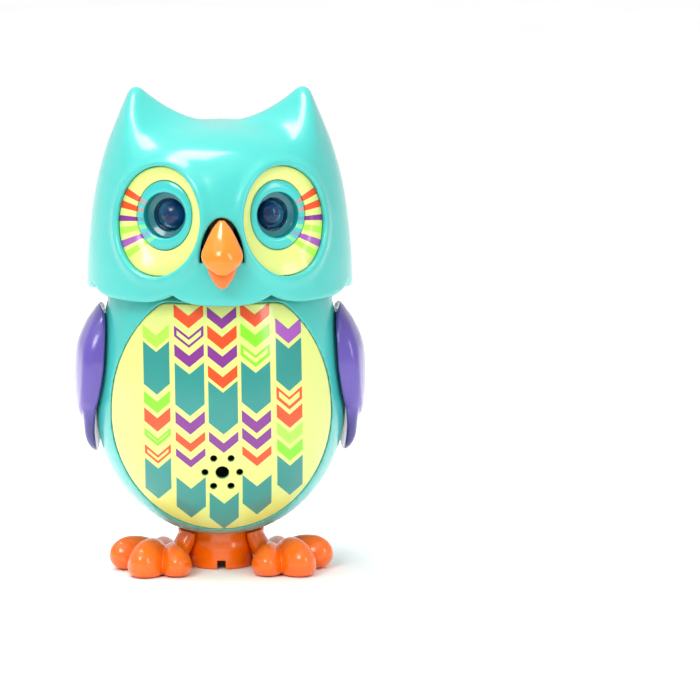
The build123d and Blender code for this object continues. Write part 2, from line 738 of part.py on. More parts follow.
spring_low = coil_z + spring_wire_r
spring_height = magnet_z - coil_z - 2 * spring_wire_r
with BuildPart() as wing_spring:
    with BuildLine():
        coil_path = Helix(spring_height / spring_turns, spring_height, spring_r, center=(0, 0, spring_low))
    with BuildSketch(Plane(origin=coil_path @ 0, z_dir=coil_path % 0)):
        Circle(spring_wire_r)
    sweep(path=coil_path, is_frenet=True)
write(wing_spring, "wing_spring")

with BuildPart() as wing_pins:
    for side in (1, -1):
        pin = side * wing_pivot_x
        add(rod(wing_pin_r, (pin, -5.4, wing_pivot_z), (pin, 5.4, wing_pivot_z)))
write(wing_pins, "wing_pins")

# =====================================================================================
# Wings
# =====================================================================================
def wing_skin(inset):
    """The band that the wings are cut from, turned about Z, with its bulge moved in by inset."""
    outer = [(wing_top[0] - inset / 4, wing_top[1]), (wing_bulge[0] - inset, wing_bulge[1]), wing_end]
    with BuildPart() as band:
        with BuildSketch(seam_plane):
            with BuildLine():
                Spline(*outer)
                Spline(wing_inner_top, wing_inner_middle, wing_inner_end)
                Line(outer[0], wing_inner_top)
                Line(outer[-1], wing_inner_end)
            make_face()
        revolve(axis=Axis.Z)
    return band.part


def leaf(points):
    """A prism along X with its side outline through the given y and z points."""
    with BuildPart() as prism:
        with BuildSketch(Plane.YZ):
            with BuildLine():
                Spline(*points, periodic=True)
            make_face()
        extrude(amount=60)
    return prism.part


upper_leaf = ((0.0, 55.3), (-7.6, 52.0), (-11.0, 44.0), (-9.2, 35.5), (-2.5, feather_line_z),
              (4.5, feather_line_z + 0.8), (9.8, 36.0), (11.0, 44.0), (7.6, 52.0))
lower_leaf = ((-1.0, 48.0), (-7.6, 42.0), (-7.2, 33.0), (-1.5, 26.0), (3.4, 23.6), (7.4, 26.6),
              (9.0, 34.0), (7.6, 42.0))
with BuildPart() as swung_body:
    body_skin = egg(-0.35, floor_z, deck_z)
    pivot_axis = Axis(origin=(wing_pivot_x, 0, wing_pivot_z), direction=(0, 1, 0))
    add(body_skin)
    add(body_skin.rotate(pivot_axis, flap_angle + 1))
hub_slot = 3.0 - 0.3
with BuildPart() as upper_feather:
    add(wing_skin(0))
    add(leaf(upper_leaf), mode=Mode.INTERSECT)
for side, name in ((1, "wing_left"), (-1, "wing_right")):
    with BuildPart() as blade:
        add(wing_skin(feather_step))
        add(leaf(lower_leaf), mode=Mode.INTERSECT)
        add(upper_feather.part)
        add(swung_body.part, mode=Mode.SUBTRACT)
        arm_end = wing_inner_top[0] + 0.9
        arm_y = (-wing_arm_half_width, wing_arm_half_width)
        add(block((wing_pivot_x, arm_end), arm_y, (wing_pivot_z - 1.0, wing_pivot_z + 1.0)))
        hub_y = (-hub_slot, hub_slot)
        add(rod(wing_hub_r, (wing_pivot_x, hub_y[0], wing_pivot_z), (wing_pivot_x, hub_y[1], wing_pivot_z)))
        lever_z = (wing_pivot_z - lever_thickness / 2, wing_pivot_z + lever_thickness / 2)
        add(block((lever_tip_x, wing_pivot_x), (-1.9, 1.9), lever_z))
        add(rod(lever_tip_r, (lever_tip_x, -1.9, wing_pivot_z), (lever_tip_x, 1.9, wing_pivot_z)))
        add(rod(wing_pin_r + running, (wing_pivot_x, -9, wing_pivot_z), (wing_pivot_x, 9, wing_pivot_z)),
            mode=Mode.SUBTRACT)
    with BuildPart() as wing:
        add(blade.part if side == 1 else mirror(blade.part, about=Plane.YZ))
    write(wing, name)

# =====================================================================================
# Head casing
# =====================================================================================
def eye_plane(side):
    """Plane touching the head at the centre of one eye, with its normal out of the eye."""
    turn = math.radians(eye_azimuth)
    tilt = math.radians(eye_tilt)
    normal = (side * math.sin(turn) * math.cos(tilt), -math.cos(turn) * math.cos(tilt), math.sin(tilt))
    across = (math.cos(turn), side * math.sin(turn), 0)
    centre = (side * eye_centre[0], eye_centre[1], eye_centre[2])
    return Plane(origin=centre, x_dir=across, z_dir=normal)


def oval(side, half_x, half_y, shallow, deep, at=(0, 0)):
    """An elliptical prism along one eye's axis between two depths below the eye plane."""
    with BuildPart() as solid:
        with BuildSketch(eye_plane(side).offset(-deep)):
            with Locations(at):
                Ellipse(half_x, half_y)
        extrude(amount=deep - shallow)
    return solid.part


def eye_rod(side, radius, shallow, deep):
    """A round rod along one eye's axis between two depths below the eye plane."""
    with BuildPart() as solid:
        with BuildSketch(eye_plane(side).offset(-deep)):
            Circle(radius)
        extrude(amount=deep - shallow)
    return solid.part


head_inside = head_form(head_wall, rim_z - 1)
mouth = (
    (-mouth_half_width, mouth_bottom_z), (-4.1, 69.2), (-2.6, 73.1), (0, 75.0), (2.6, 73.1), (4.1, 69.2),
    (mouth_half_width, mouth_bottom_z),
)
spigot_z = 64.4
rib_r = 22.9
with BuildPart() as head_casing:
    add(head_form(0, rim_z))
    fillet(head_casing.edges().filter_by(GeomType.CIRCLE).sort_by(Axis.Z)[0], rim_round)
    add(head_inside, mode=Mode.SUBTRACT)
    wall_form = head_radius(base_plate_z) - head_wall + 0.4
    for low in (base_plate_z - 0.9, base_plate_z + base_plate_height + 0.1):
        add(tube(wall_form, rib_r, (0, 0, low), (0, 0, low + 0.8)))
    key_top = base_plate_z + base_plate_height
    add(block((-key_half, key_half), (key_y + slip, wall_form), (base_plate_z, key_top)))
    for angle in cusp_angles:
        turn = math.radians(angle)
        out = (math.sin(turn), -math.cos(turn), 0)
        with BuildSketch(Plane(origin=(0, 0, rim_z), x_dir=(math.cos(turn), math.sin(turn), 0), z_dir=out)):
            with BuildLine():
                Polyline(
                    (-cusp_half_width, -2), (-cusp_half_width, 0), (0, cusp_height), (cusp_half_width, 0),
                    (cusp_half_width, -2), close=True,
                )
            make_face()
        extrude(amount=40, mode=Mode.SUBTRACT)
head_halves = {}
for name, keep in (("front", Keep.TOP), ("rear", Keep.BOTTOM)):
    with BuildPart() as half:
        add(head_casing.part)
        split(bisect_by=Plane.XZ, keep=keep)
    head_halves[name] = half.part

head_skin = head_form(head_wall - 0.6, rim_z)
with BuildPart() as head_front_posts:
    for x, z in head_posts:
        add(rod(post_r, (x, -30, z), (x, 0, z)))
    for x, z in eye_board_posts:
        add(rod(1.7, (x, -30, z), (x, eye_board_y, z)))
    add(head_skin, mode=Mode.INTERSECT)

with BuildPart() as head_front_shell:
    add(head_halves["front"])
    add(head_front_posts.part)
    for side in (1, -1):
        outline_at = (side * dish_out, -dish_drop)
        add(oval(side, eye_half_width, eye_half_height, -4, 8, outline_at), mode=Mode.SUBTRACT)
    with BuildSketch(Plane.XZ.offset(21.5)):
        with BuildLine():
            Spline(*mouth)
            Line(mouth[-1], mouth[0])
        make_face()
    extrude(amount=20, mode=Mode.SUBTRACT)
    add(rod(1.35, (0, -30, spigot_z), (0, -20, spigot_z)), mode=Mode.SUBTRACT)
    for x, z in head_posts:
        add(rod(screw_pilot_r, (x, -9.0, z), (x, 0, z)), mode=Mode.SUBTRACT)
    for x, z in eye_board_posts:
        add(rod(screw_pilot_r, (x, eye_board_y - 6.0, z), (x, eye_board_y, z)), mode=Mode.SUBTRACT)
write(head_front_shell, "head_front_shell")

with BuildPart() as head_rear_posts:
    for x, z in head_posts:
        add(rod(rear_post_r, (x, 0, z), (x, 30, z)))
    add(head_skin, mode=Mode.INTERSECT)

with BuildPart() as head_rear_shell:
    add(head_halves["rear"])
    add(head_rear_posts.part)
    for x, z in head_posts:
        add(rod(screw_clear_r, (x, 0, z), (x, 30, z)), mode=Mode.SUBTRACT)
        add(rod(screw_head_r + 0.3, (x, screw_seat, z), (x, 30, z)), mode=Mode.SUBTRACT)
write(head_rear_shell, "head_rear_shell")

with BuildPart() as head_screws:
    for x, z in head_posts:
        add(screw((x, screw_seat + screw_head_height, z), (0, -1, 0), 10.5))
write(head_screws, "head_screws")

# =====================================================================================
# Eyes
# =====================================================================================
flange_floor = ring_depth + 0.9
dish_fit = head_form(0.75, rim_z)
cup_wall = 0.6
for side, hand in ((1, "left"), (-1, "right")):
    plane = eye_plane(side)
    rim_x = eye_half_width - slip
    rim_y = eye_half_height - slip
    rim_at = (side * dish_out, -dish_drop)
    with BuildPart() as eye_dish:
        add(oval(side, rim_x, rim_y, dish_depth, dish_depth + dish_thickness, rim_at))
        with BuildSketch(plane.offset(-dish_depth - dish_thickness)):
            with Locations(rim_at):
                Ellipse(rim_x, rim_y)
        with BuildSketch(plane.offset(-flange_floor - dish_thickness)):
            Ellipse(ring_half_width + 0.6, ring_half_height + 0.6)
        loft()
        with BuildSketch(plane.offset(-dish_depth + 0.01)):
            with Locations(rim_at):
                Ellipse(rim_x - 0.3, rim_y - 0.3)
        with BuildSketch(plane.offset(-ring_depth)):
            Ellipse(ring_half_width, ring_half_height)
        loft(mode=Mode.SUBTRACT)
        lens_seat = oval(side, ring_half_width, ring_half_height, ring_depth - 0.1, flange_floor)
        add(lens_seat, mode=Mode.SUBTRACT)
        add(oval(side, ring_half_width - 0.7, ring_half_height - 0.7, 0, 9), mode=Mode.SUBTRACT)
        add(dish_fit, mode=Mode.INTERSECT)
    write(eye_dish, f"eye_dish_{hand}")
    with BuildPart() as eye_ring:
        add(oval(side, ring_half_width - slip, ring_half_height - slip, ring_depth, flange_floor - 0.05))
        add(eye_rod(side, cup_r + cup_wall, ring_depth, cup_depth))
        add(eye_rod(side, cup_r, ring_depth - 1, cup_depth - 0.8), mode=Mode.SUBTRACT)
        add(eye_rod(side, pupil_r + 0.1, 0, 9), mode=Mode.SUBTRACT)
    write(eye_ring, f"eye_ring_{hand}")
    with BuildPart() as eye_dome:
        add(eye_rod(side, pupil_r, cup_depth - 1.4, cup_depth + 0.85))
        fillet(eye_dome.faces().sort_by(Axis(origin=plane.origin, direction=plane.z_dir))[-1].edges(), 1.6)
        add(eye_rod(side, pupil_r + 1.0, cup_depth + 0.05, cup_depth + 0.85))
        add(eye_rod(side, led_r + 0.15, cup_depth - 0.6, cup_depth + 2), mode=Mode.SUBTRACT)
    write(eye_dome, f"eye_dome_{hand}")
    with BuildPart() as eye_led:
        add(eye_rod(side, led_r, cup_depth - 0.3, cup_depth + 3.2))
        fillet(eye_led.faces().sort_by(Axis(origin=plane.origin, direction=plane.z_dir))[-1].edges(), 1.2)
        add(eye_rod(side, led_r + 0.3, cup_depth + 2.2, cup_depth + 3.2))
        for lead in (0.9, -0.9):
            start = plane.from_local_coords((lead, 0, -cup_depth - 3.0))
            add(rod(0.25, tuple(start), (start.X, eye_board_y, start.Z)))
    write(eye_led, f"eye_led_{hand}")

board_back = eye_board_y + board_thickness
with BuildPart() as eye_board:
    add(block((-eye_board_half_width, eye_board_half_width), (eye_board_y, board_back),
              (eye_board_low_z, eye_board_high_z)))
    fillet(eye_board.edges().filter_by(Axis.Y), 2.0)
    add(block((-6.0, 6.0), (-20, 0), (60, 75.6)), mode=Mode.SUBTRACT)
    for x, z in eye_board_posts:
        add(rod(screw_clear_r, (x, -20, z), (x, 0, z)), mode=Mode.SUBTRACT)
    for side in (1, -1):
        chip = side * 11.0
        add(block((chip - 1.6, chip + 1.6), (board_back, board_back + 0.9), (78.2, 81.0)))
        add(block((chip - 0.8, chip + 0.8), (board_back, board_back + 0.5), (72.6, 73.4)))
write(eye_board, "eye_board")

with BuildPart() as eye_board_screws:
    for x, z in eye_board_posts:
        add(screw((x, board_back + screw_head_height, z), (0, -1, 0), 5.4))
write(eye_board_screws, "eye_board_screws")

# =====================================================================================
# Beak
# =====================================================================================
def stack(sections, grow=0.0):
    """A solid lofted through horizontal ovals, each grown by the same amount."""
    with BuildPart() as solid:
        for height, centre, half_x, half_y in sections:
            with BuildSketch(Plane.XY.offset(height)):
                with Locations((0, centre)):
                    Ellipse(half_x + grow, half_y + grow)
        loft()
    return solid.part


face_clearance = head_form(-slip, rim_z)
with BuildPart() as beak_lower:
    add(stack(lower_beak_sections))
    add(face_clearance, mode=Mode.SUBTRACT)
    add(rod(1.2, (0, -28.4, spigot_z), (0, -24.6, spigot_z)))
write(beak_lower, "beak_lower")

pivot = (beak_pivot_y, beak_pivot_z)
tail_low_z = beak_coil_top_z + beak_magnet_gap + beak_magnet_height
with BuildPart() as beak_upper:
    add(stack(upper_beak_sections))
    add(stack(lower_beak_sections, 0.35), mode=Mode.SUBTRACT)
    add(face_clearance, mode=Mode.SUBTRACT)
    root_x = (-beak_root_half, beak_root_half)
    add(block(root_x, (-27.6, beak_pivot_y), (beak_pivot_z - 1.0, beak_pivot_z + 0.35)))
    add(rod(beak_hub_r, (-beak_root_half, *pivot), (beak_root_half, *pivot)))
    with BuildSketch(Plane.YZ.offset(-beak_root_half)):
        with BuildLine():
            Polyline(
                (beak_pivot_y, beak_pivot_z + 0.9), (tail_y + 1.4, tail_low_z + 1.6),
                (tail_y + 1.4, tail_low_z), (tail_y - 1.4, tail_low_z), (beak_pivot_y, beak_pivot_z - 0.9),
                close=True,
            )
        make_face()
    extrude(amount=2 * beak_root_half)
    add(rod(beak_pin_r + running, (-9, *pivot), (9, *pivot)), mode=Mode.SUBTRACT)
write(beak_upper, "beak_upper")

with BuildPart() as beak_magnet:
    add(rod(beak_magnet_r, (0, tail_y, tail_low_z - beak_magnet_height), (0, tail_y, tail_low_z)))
write(beak_magnet, "beak_magnet")

plate_top = base_plate_z + base_plate_height
cheek_low = beak_root_half + cheek_gap
cheek_high = cheek_low + cheek_plate
with BuildPart() as beak_bracket:
    add(block((-5.0, 5.0), (-21.8, -11.0), (plate_top, plate_top + 1.0)))
    for side in (1, -1):
        cheek_x = sorted((side * cheek_low, side * cheek_high))
        add(block(cheek_x, (-22.6, -19.6), (plate_top, beak_pivot_z + 1.6)))
    add(rod(beak_coil_r - 0.8, (0, tail_y, plate_top), (0, tail_y, beak_coil_top_z)))
    add(rod(beak_pin_r, (-9, *pivot), (9, *pivot)), mode=Mode.SUBTRACT)
write(beak_bracket, "beak_bracket")

with BuildPart() as beak_pin:
    add(rod(beak_pin_r, (-cheek_high, *pivot), (cheek_high, *pivot)))
write(beak_pin, "beak_pin")

with BuildPart() as beak_coil:
    add(tube(beak_coil_r, beak_coil_r - 0.8, (0, tail_y, plate_top + 1.0), (0, tail_y, beak_coil_top_z)))
write(beak_coil, "beak_coil")

# =====================================================================================
# Electronics
# =====================================================================================
board_rear_y = board_y + board_thickness
with BuildPart() as main_board:
    add(block((-board_half_width, board_half_width), (board_y, board_rear_y), (board_low_z, board_high_z)))
    fillet(main_board.edges().filter_by(Axis.Y), 1.5)
    for x, z in board_posts:
        add(rod(screw_clear_r, (x, -20, z), (x, 0, z)), mode=Mode.SUBTRACT)
write(main_board, "main_board")

with BuildPart() as board_parts:
    add(rod(2.4, (0, board_rear_y, 28.0), (0, board_rear_y + 1.0, 28.0)))
    add(block((-10.5, -5.5), (board_rear_y, board_rear_y + 1.2), (25.0, 30.0)))
    add(block((6.0, 9.0), (board_rear_y, board_rear_y + 1.0), (24.0, 26.5)))
    add(rod(1.6, (9.5, board_rear_y, 30.5), (9.5, board_rear_y + 4.0, 30.5)))
    for step in range(4):
        add(block((-4.2 + 2.0 * step, -3.2 + 2.0 * step), (board_rear_y, board_rear_y + 0.5), (21.4, 22.0)))
    add(rod(2.0, (0, board_y - 2.2, 34.4), (0, board_y, 34.4)))
    add(rod(0.4, (0, board_y - 3.0, 34.4), (0, board_y - 1.9, 34.4)), mode=Mode.SUBTRACT)
write(board_parts, "board_parts")

with BuildPart() as board_screws:
    for x, z in board_posts:
        add(screw((x, board_rear_y + screw_head_height, z), (0, -1, 0), 5.4))
write(board_screws, "board_screws")

speaker_back = speaker_front_y + speaker_depth
with BuildPart() as speaker:
    add(tube(speaker_r, speaker_r - 0.8, (0, speaker_front_y, sound_z), (0, speaker_back, sound_z)))
    add(rod(speaker_r, (0, speaker_back - 0.8, sound_z), (0, speaker_back, sound_z)))
    add(rod(4.4, (0, speaker_back, sound_z), (0, speaker_back + 2.0, sound_z)))
write(speaker, "speaker")

with BuildPart() as speaker_cone:
    with BuildSketch(Plane.XZ.offset(-speaker_front_y - 1.9)):
        with Locations((0, sound_z)):
            Circle(2.4)
    with BuildSketch(Plane.XZ.offset(-speaker_front_y - 0.5)):
        with Locations((0, sound_z)):
            Circle(speaker_r - 0.9)
    loft()
write(speaker_cone, "speaker_cone")

cell_row = 3 * cell_thickness / 2
tray_x = cell_row + 1.4
with BuildPart() as battery_tray:
    wall = tray_wall
    add(block((-tray_x - wall, tray_x + wall), (cell_y - cell_r - 0.15 - wall, 30),
              (cell_z - tray_half_height - wall, cell_z + tray_half_height + wall)))
    add(egg(body_wall + slip, floor_z, deck_z), mode=Mode.INTERSECT)
    add(rod(tray_half_height, (-tray_x, cell_y, cell_z), (tray_x, cell_y, cell_z)), mode=Mode.SUBTRACT)
    add(block((-tray_x, tray_x), (cell_y, 30), (cell_z - tray_half_height, cell_z + tray_half_height)),
        mode=Mode.SUBTRACT)
write(battery_tray, "battery_tray")

with BuildPart() as button_cells:
    for place in (-1, 0, 1):
        middle = place * cell_thickness
        low = middle - cell_thickness / 2 + 0.05
        add(rod(cell_r - 0.9, (low, cell_y, cell_z), (low + 0.4, cell_y, cell_z)))
        add(rod(cell_r, (low + 0.4, cell_y, cell_z), (low + cell_thickness - 0.1, cell_y, cell_z)))
write(button_cells, "button_cells")

with BuildPart() as battery_contacts:
    for side in (1, -1):
        plate_x = sorted((side * tray_x, side * (tray_x - 0.3)))
        add(block(plate_x, (cell_y - 4, cell_y + 4), (cell_z - 4, cell_z + 4)))
        with BuildSketch(Plane.YZ.offset(side * (tray_x - 0.3))):
            with Locations((cell_y, cell_z)):
                Circle(2.6)
        with BuildSketch(Plane.YZ.offset(side * (cell_row + 0.02))):
            with Locations((cell_y, cell_z)):
                Circle(1.2)
        loft()
write(battery_contacts, "battery_contacts")

switch_face_y = egg_radius(switch_z, body_wall) - 1.1
with BuildPart() as switch_housing:
    add(block((-4.6, 4.6), (switch_face_y - 3.4, switch_face_y), (switch_z - 1.9, switch_z + 1.9)))
    reach = switch_travel / 2 + knob_half + 0.15
    add(block((-reach, reach), (switch_face_y - 1.6, switch_face_y + 1), (switch_z - 1.0, switch_z + 1.0)),
        mode=Mode.SUBTRACT)
write(switch_housing, "switch_housing")

knob_x = -switch_travel / 2
knob_out_y = egg_radius(switch_z) + 0.5
with BuildPart() as switch_knob:
    add(block((knob_x - knob_half, knob_x + knob_half), (switch_face_y - 1.5, knob_out_y),
              (switch_z - 0.9, switch_z + 0.9)))
    for rib in (-0.7, 0.0, 0.7):
        rib_x = knob_x + rib
        groove_y = (knob_out_y - 0.25, knob_out_y)
        add(block((rib_x - 0.15, rib_x + 0.15), groove_y, (switch_z - 2, switch_z + 2)), mode=Mode.SUBTRACT)
write(switch_knob, "switch_knob")

# =====================================================================================
# Leads
# =====================================================================================
harness_break = 50.0
with BuildPart() as body_harness:
    add(wire([(0, board_rear_y + 0.1, 36.2), (0, 0, 36.2), (0, 0, harness_break)]))
write(body_harness, "body_harness")

with BuildPart() as head_harness:
    add(wire([(0, 0, harness_break + 0.3), (0, 0, 79.0), (4.6, board_back + 0.1, 79.0)]))
write(head_harness, "head_harness")

tray_top = cell_z + tray_half_height + tray_wall + 2 * wire_r
tray_front = cell_y - tray_half_height - tray_wall - 3 * wire_r
with BuildPart() as body_leads:
    for side in (1, -1):
        pin_x = motor_x + side * 3.2
        over_tray = (pin_x, tray_front + 3, tray_top)
        add(wire([over_tray, (pin_x, tray_front, tray_top), (pin_x * 0.6, board_rear_y + 0.3, 33.0 - side)]))
        add(rod(wire_r, (pin_x, motor_y, motor_low - 1.2), (pin_x, motor_y, tray_top)))
        add(rod(wire_r, (pin_x, motor_y, tray_top), over_tray))
        cone_x = side * 6.6
        cone_z = sound_z - 3.0
        speaker_run = (cone_x, speaker_back + 2.6, cone_z)
        add(wire([(cone_x, speaker_back + 0.1, cone_z), speaker_run, (cone_x, board_y - 0.4, sound_z)]))
        cell_x = side * (tray_x + tray_wall + 0.6)
        board_end = (cell_x, board_rear_y + 0.1, cell_z - 5.5)
        add(wire([(cell_x, cell_y, cell_z), (cell_x, 4.0, cell_z), board_end]))
write(body_leads, "body_leads")
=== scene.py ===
"""Looks of the plastic owl toy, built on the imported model. Working sizes are in millimetres."""
import json
import math

import bpy
import numpy as np
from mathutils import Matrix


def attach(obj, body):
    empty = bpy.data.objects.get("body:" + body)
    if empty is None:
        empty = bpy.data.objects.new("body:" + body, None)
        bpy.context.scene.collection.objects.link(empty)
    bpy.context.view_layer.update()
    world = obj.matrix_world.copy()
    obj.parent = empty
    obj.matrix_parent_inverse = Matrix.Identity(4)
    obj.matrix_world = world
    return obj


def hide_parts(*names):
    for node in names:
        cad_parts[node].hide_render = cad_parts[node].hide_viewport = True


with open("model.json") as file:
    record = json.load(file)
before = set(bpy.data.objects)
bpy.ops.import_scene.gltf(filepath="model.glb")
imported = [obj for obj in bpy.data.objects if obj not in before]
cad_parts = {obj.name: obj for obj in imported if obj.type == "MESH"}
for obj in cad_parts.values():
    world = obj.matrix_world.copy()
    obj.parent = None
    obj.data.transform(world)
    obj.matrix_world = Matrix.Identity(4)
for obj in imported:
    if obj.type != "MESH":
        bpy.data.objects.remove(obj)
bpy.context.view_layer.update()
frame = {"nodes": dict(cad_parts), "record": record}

MM = 0.001
CELL = 0.36

# ------------------------------------------------------------------ camera
TURN = math.radians(-2.1)
RISE = math.radians(9.0)
LENS = 300.0             # focal length, with the sensor's width below
SENSOR = 36.0
FRAME_WIDTH = 142.86     # of the picture, at the toy
across = np.array((math.cos(TURN), math.sin(TURN), 0.0))
back = np.array((math.sin(TURN) * math.cos(RISE), -math.cos(TURN) * math.cos(RISE), math.sin(RISE)))
target = 26.47 * across + np.array((0.0, 0.0, 44.4))
lens = bpy.data.cameras.new("camera")
lens.lens = LENS
lens.sensor_width = SENSOR
lens.clip_end = 50.0
camera = bpy.data.objects.new("camera", lens)
bpy.context.scene.collection.objects.link(camera)
camera.location = [float(c) * MM for c in target + back * FRAME_WIDTH * LENS / SENSOR]
camera.rotation_euler = (math.pi / 2 - RISE, 0.0, TURN)
bpy.context.scene.camera = camera
bpy.context.scene.view_settings.view_transform = "Standard"


# ------------------------------------------------------------------ shader helpers
class Value:
    """A node socket that can be written as arithmetic."""

    def __init__(self, tree, socket):
        self.tree, self.socket = tree, socket

    def op(self, kind, *others):
        node = self.tree.nodes.new("ShaderNodeMath")
        node.operation = kind
        for slot, item in zip(node.inputs, (self,) + others):
            if isinstance(item, Value):
                self.tree.links.new(item.socket, slot)
            else:
                slot.default_value = item
        return Value(self.tree, node.outputs[0])

    def __add__(self, other): return self.op("ADD", other)
    def __sub__(self, other): return self.op("SUBTRACT", other)
    def __mul__(self, other): return self.op("MULTIPLY", other)
    def __lt__(self, other): return self.op("LESS_THAN", other)
    def __gt__(self, other): return self.op("GREATER_THAN", other)


class Finish:
    """One procedural material, built up step by step."""

    def __init__(self, name):
        self.material = bpy.data.materials.new(name)
        self.material.use_nodes = True
        self.tree = self.material.node_tree
        self.shader = self.tree.nodes["Principled BSDF"]
        self.where = self.tree.nodes.new("ShaderNodeTexCoord").outputs["Object"]

    def axes(self):
        """Object position as three values in millimetres."""
        split = self.tree.nodes.new("ShaderNodeSeparateXYZ")
        self.tree.links.new(self.where, split.inputs[0])
        return [Value(self.tree, s) * 1000.0 for s in split.outputs]

    def noise(self, scale, detail=3.0, stretch=None):
        """Fractal noise from 0 to 1; scale is in features per millimetre."""
        node = self.tree.nodes.new("ShaderNodeTexNoise")
        node.inputs["Scale"].default_value = scale * 1000.0
        node.inputs["Detail"].default_value = detail
        source = self.where
        if stretch:
            mapping = self.tree.nodes.new("ShaderNodeMapping")
            mapping.inputs["Scale"].default_value = stretch
            self.tree.links.new(source, mapping.inputs["Vector"])
            source = mapping.outputs[0]
        self.tree.links.new(source, node.inputs["Vector"])
        return Value(self.tree, node.outputs["Fac"])

    def ramp(self, factor, stops, constant=False):
        """Colours at positions from 0 to 1."""
        node = self.tree.nodes.new("ShaderNodeValToRGB")
        node.color_ramp.interpolation = "CONSTANT" if constant else "LINEAR"
        stops = sorted(stops, key=lambda stop: stop[0])
        marks = node.color_ramp.elements
        while len(marks) < len(stops):
            marks.new(1.0)
        for mark, (place, colour) in zip(marks, stops):
            mark.position = place
        for mark, (place, colour) in zip(marks, stops):
            mark.color = (*colour, 1.0)
        self.tree.links.new(factor.socket, node.inputs[0])
        return node.outputs[0]

    def mix(self, factor, first, second):
        """first where factor is 0, second where it is 1; each is a colour socket or a colour."""
        node = self.tree.nodes.new("ShaderNodeMix")
        node.data_type = "RGBA"
        for slot, item in ((node.inputs[0], factor), (node.inputs[6], first), (node.inputs[7], second)):
            if isinstance(item, Value):
                self.tree.links.new(item.socket, slot)
            elif isinstance(item, bpy.types.NodeSocket):
                self.tree.links.new(item, slot)
            else:
                slot.default_value = item if isinstance(item, float) else (*item, 1.0)
        return node.outputs[2]

    def bump(self, height, strength, distance=0.02):
        node = self.tree.nodes.new("ShaderNodeBump")
        node.inputs["Strength"].default_value = strength
        node.inputs["Distance"].default_value = distance * MM
        self.tree.links.new(height.socket, node.inputs["Height"])
        self.tree.links.new(node.outputs[0], self.shader.inputs["Normal"])

    def set(self, **values):
        for key, value in values.items():
            socket = self.shader.inputs[key.replace("_", " ")]
            if isinstance(value, Value):
                self.tree.links.new(value.socket, socket)
            elif isinstance(value, bpy.types.NodeSocket):
                self.tree.links.new(value, socket)
            else:
                socket.default_value = (*value, 1.0) if socket.type == "RGBA" else value
        return self


def srgb(red, green, blue):
    """A colour given on the usual 0 to 255 scale, made linear."""
    return tuple(((c / 255 + 0.055) / 1.055) ** 2.4 if c > 10 else c / 255 / 12.92
                 for c in (red, green, blue))


def moulded(finish, colour, tint=0.05, gloss=0.22, peel=0.12):
    """Glossy moulded plastic: faint flow variation in colour and gloss, and a slight orange-peel surface."""
    flow = finish.noise(0.05, 4.0)
    darker = tuple(c * (1 - tint) for c in colour)
    lighter = tuple(min(1.0, c * (1 + tint)) for c in colour)
    finish.set(Base_Color=finish.ramp(flow, ((0.3, darker), (0.7, lighter))))
    finish.set(Roughness=finish.noise(0.4, 5.0) * 0.1 + (gloss - 0.05))
    finish.bump(finish.noise(0.9, 2.0), peel)
    return finish


def seam_bump(finish, peel=0.12):
    """The parting line round a casing at y = 0, as a fine groove on top of the orange peel."""
    y = finish.axes()[1]
    groove = (y.op("ABSOLUTE") < 0.09) * -1.5
    finish.bump(finish.noise(0.9, 2.0) + groove, peel)


TURQUOISE = srgb(66, 186, 178)
LIME = srgb(212, 222, 124)
VIOLET = srgb(84, 62, 146)
# Painted light: a lighter copy of the orange plastic for the upper beak, where the light falls; the lower
# beak keeps the plain orange.
ORANGE = srgb(244, 106, 2)
LIT_ORANGE = srgb(244, 128, 14)
INK = {
    "teal": srgb(30, 138, 130), "orange": srgb(226, 70, 0), "purple": srgb(124, 38, 136),
    "green": srgb(128, 222, 20), "pale": srgb(166, 236, 70), "lilac": srgb(156, 80, 172),
}

shell_finish = moulded(Finish("turquoise_casing"), TURQUOISE)
seam_bump(shell_finish)
shell_finish.set(Subsurface_Weight=0.12, Subsurface_Radius=(0.4, 1.0, 1.0), Subsurface_Scale=0.0012)
shell_finish.set(Coat_Weight=0.25, Coat_Roughness=0.06)

violet_finish = Finish("violet_wing")
x, y, z = violet_finish.axes()
# Painted shade: the ramp below darkens the wing towards its bottom, which turns under (the colour named
# under); it is lightest about z 33.6 and a little darker again towards the top.
under = srgb(58, 52, 122)
moulded(violet_finish, VIOLET)
flow = violet_finish.noise(0.06, 3.0)
painted_shade_ramp = (z - 24.0) * (1.0 / 30.0)
violet_finish.set(Base_Color=violet_finish.mix(flow * 0.2, violet_finish.ramp(
    painted_shade_ramp, ((0.0, under), (0.2, srgb(66, 58, 134)), (0.32, srgb(100, 80, 172)),
           (1.0, srgb(88, 70, 156)))), VIOLET))
violet_finish.set(Subsurface_Weight=0.1, Subsurface_Radius=(0.8, 0.5, 1.0), Subsurface_Scale=0.001)
violet_finish.set(Coat_Weight=0.3, Coat_Roughness=0.08)

orange_finish = moulded(Finish("orange_plastic"), ORANGE)
orange_finish.set(Coat_Weight=0.3, Coat_Roughness=0.08)
# Painted light: the upper beak's finish uses the lighter copy of the orange.
lit_beak_finish = moulded(Finish("orange_beak_painted_light"), LIT_ORANGE, gloss=0.18)
lit_beak_finish.set(Coat_Weight=0.4, Coat_Roughness=0.06)


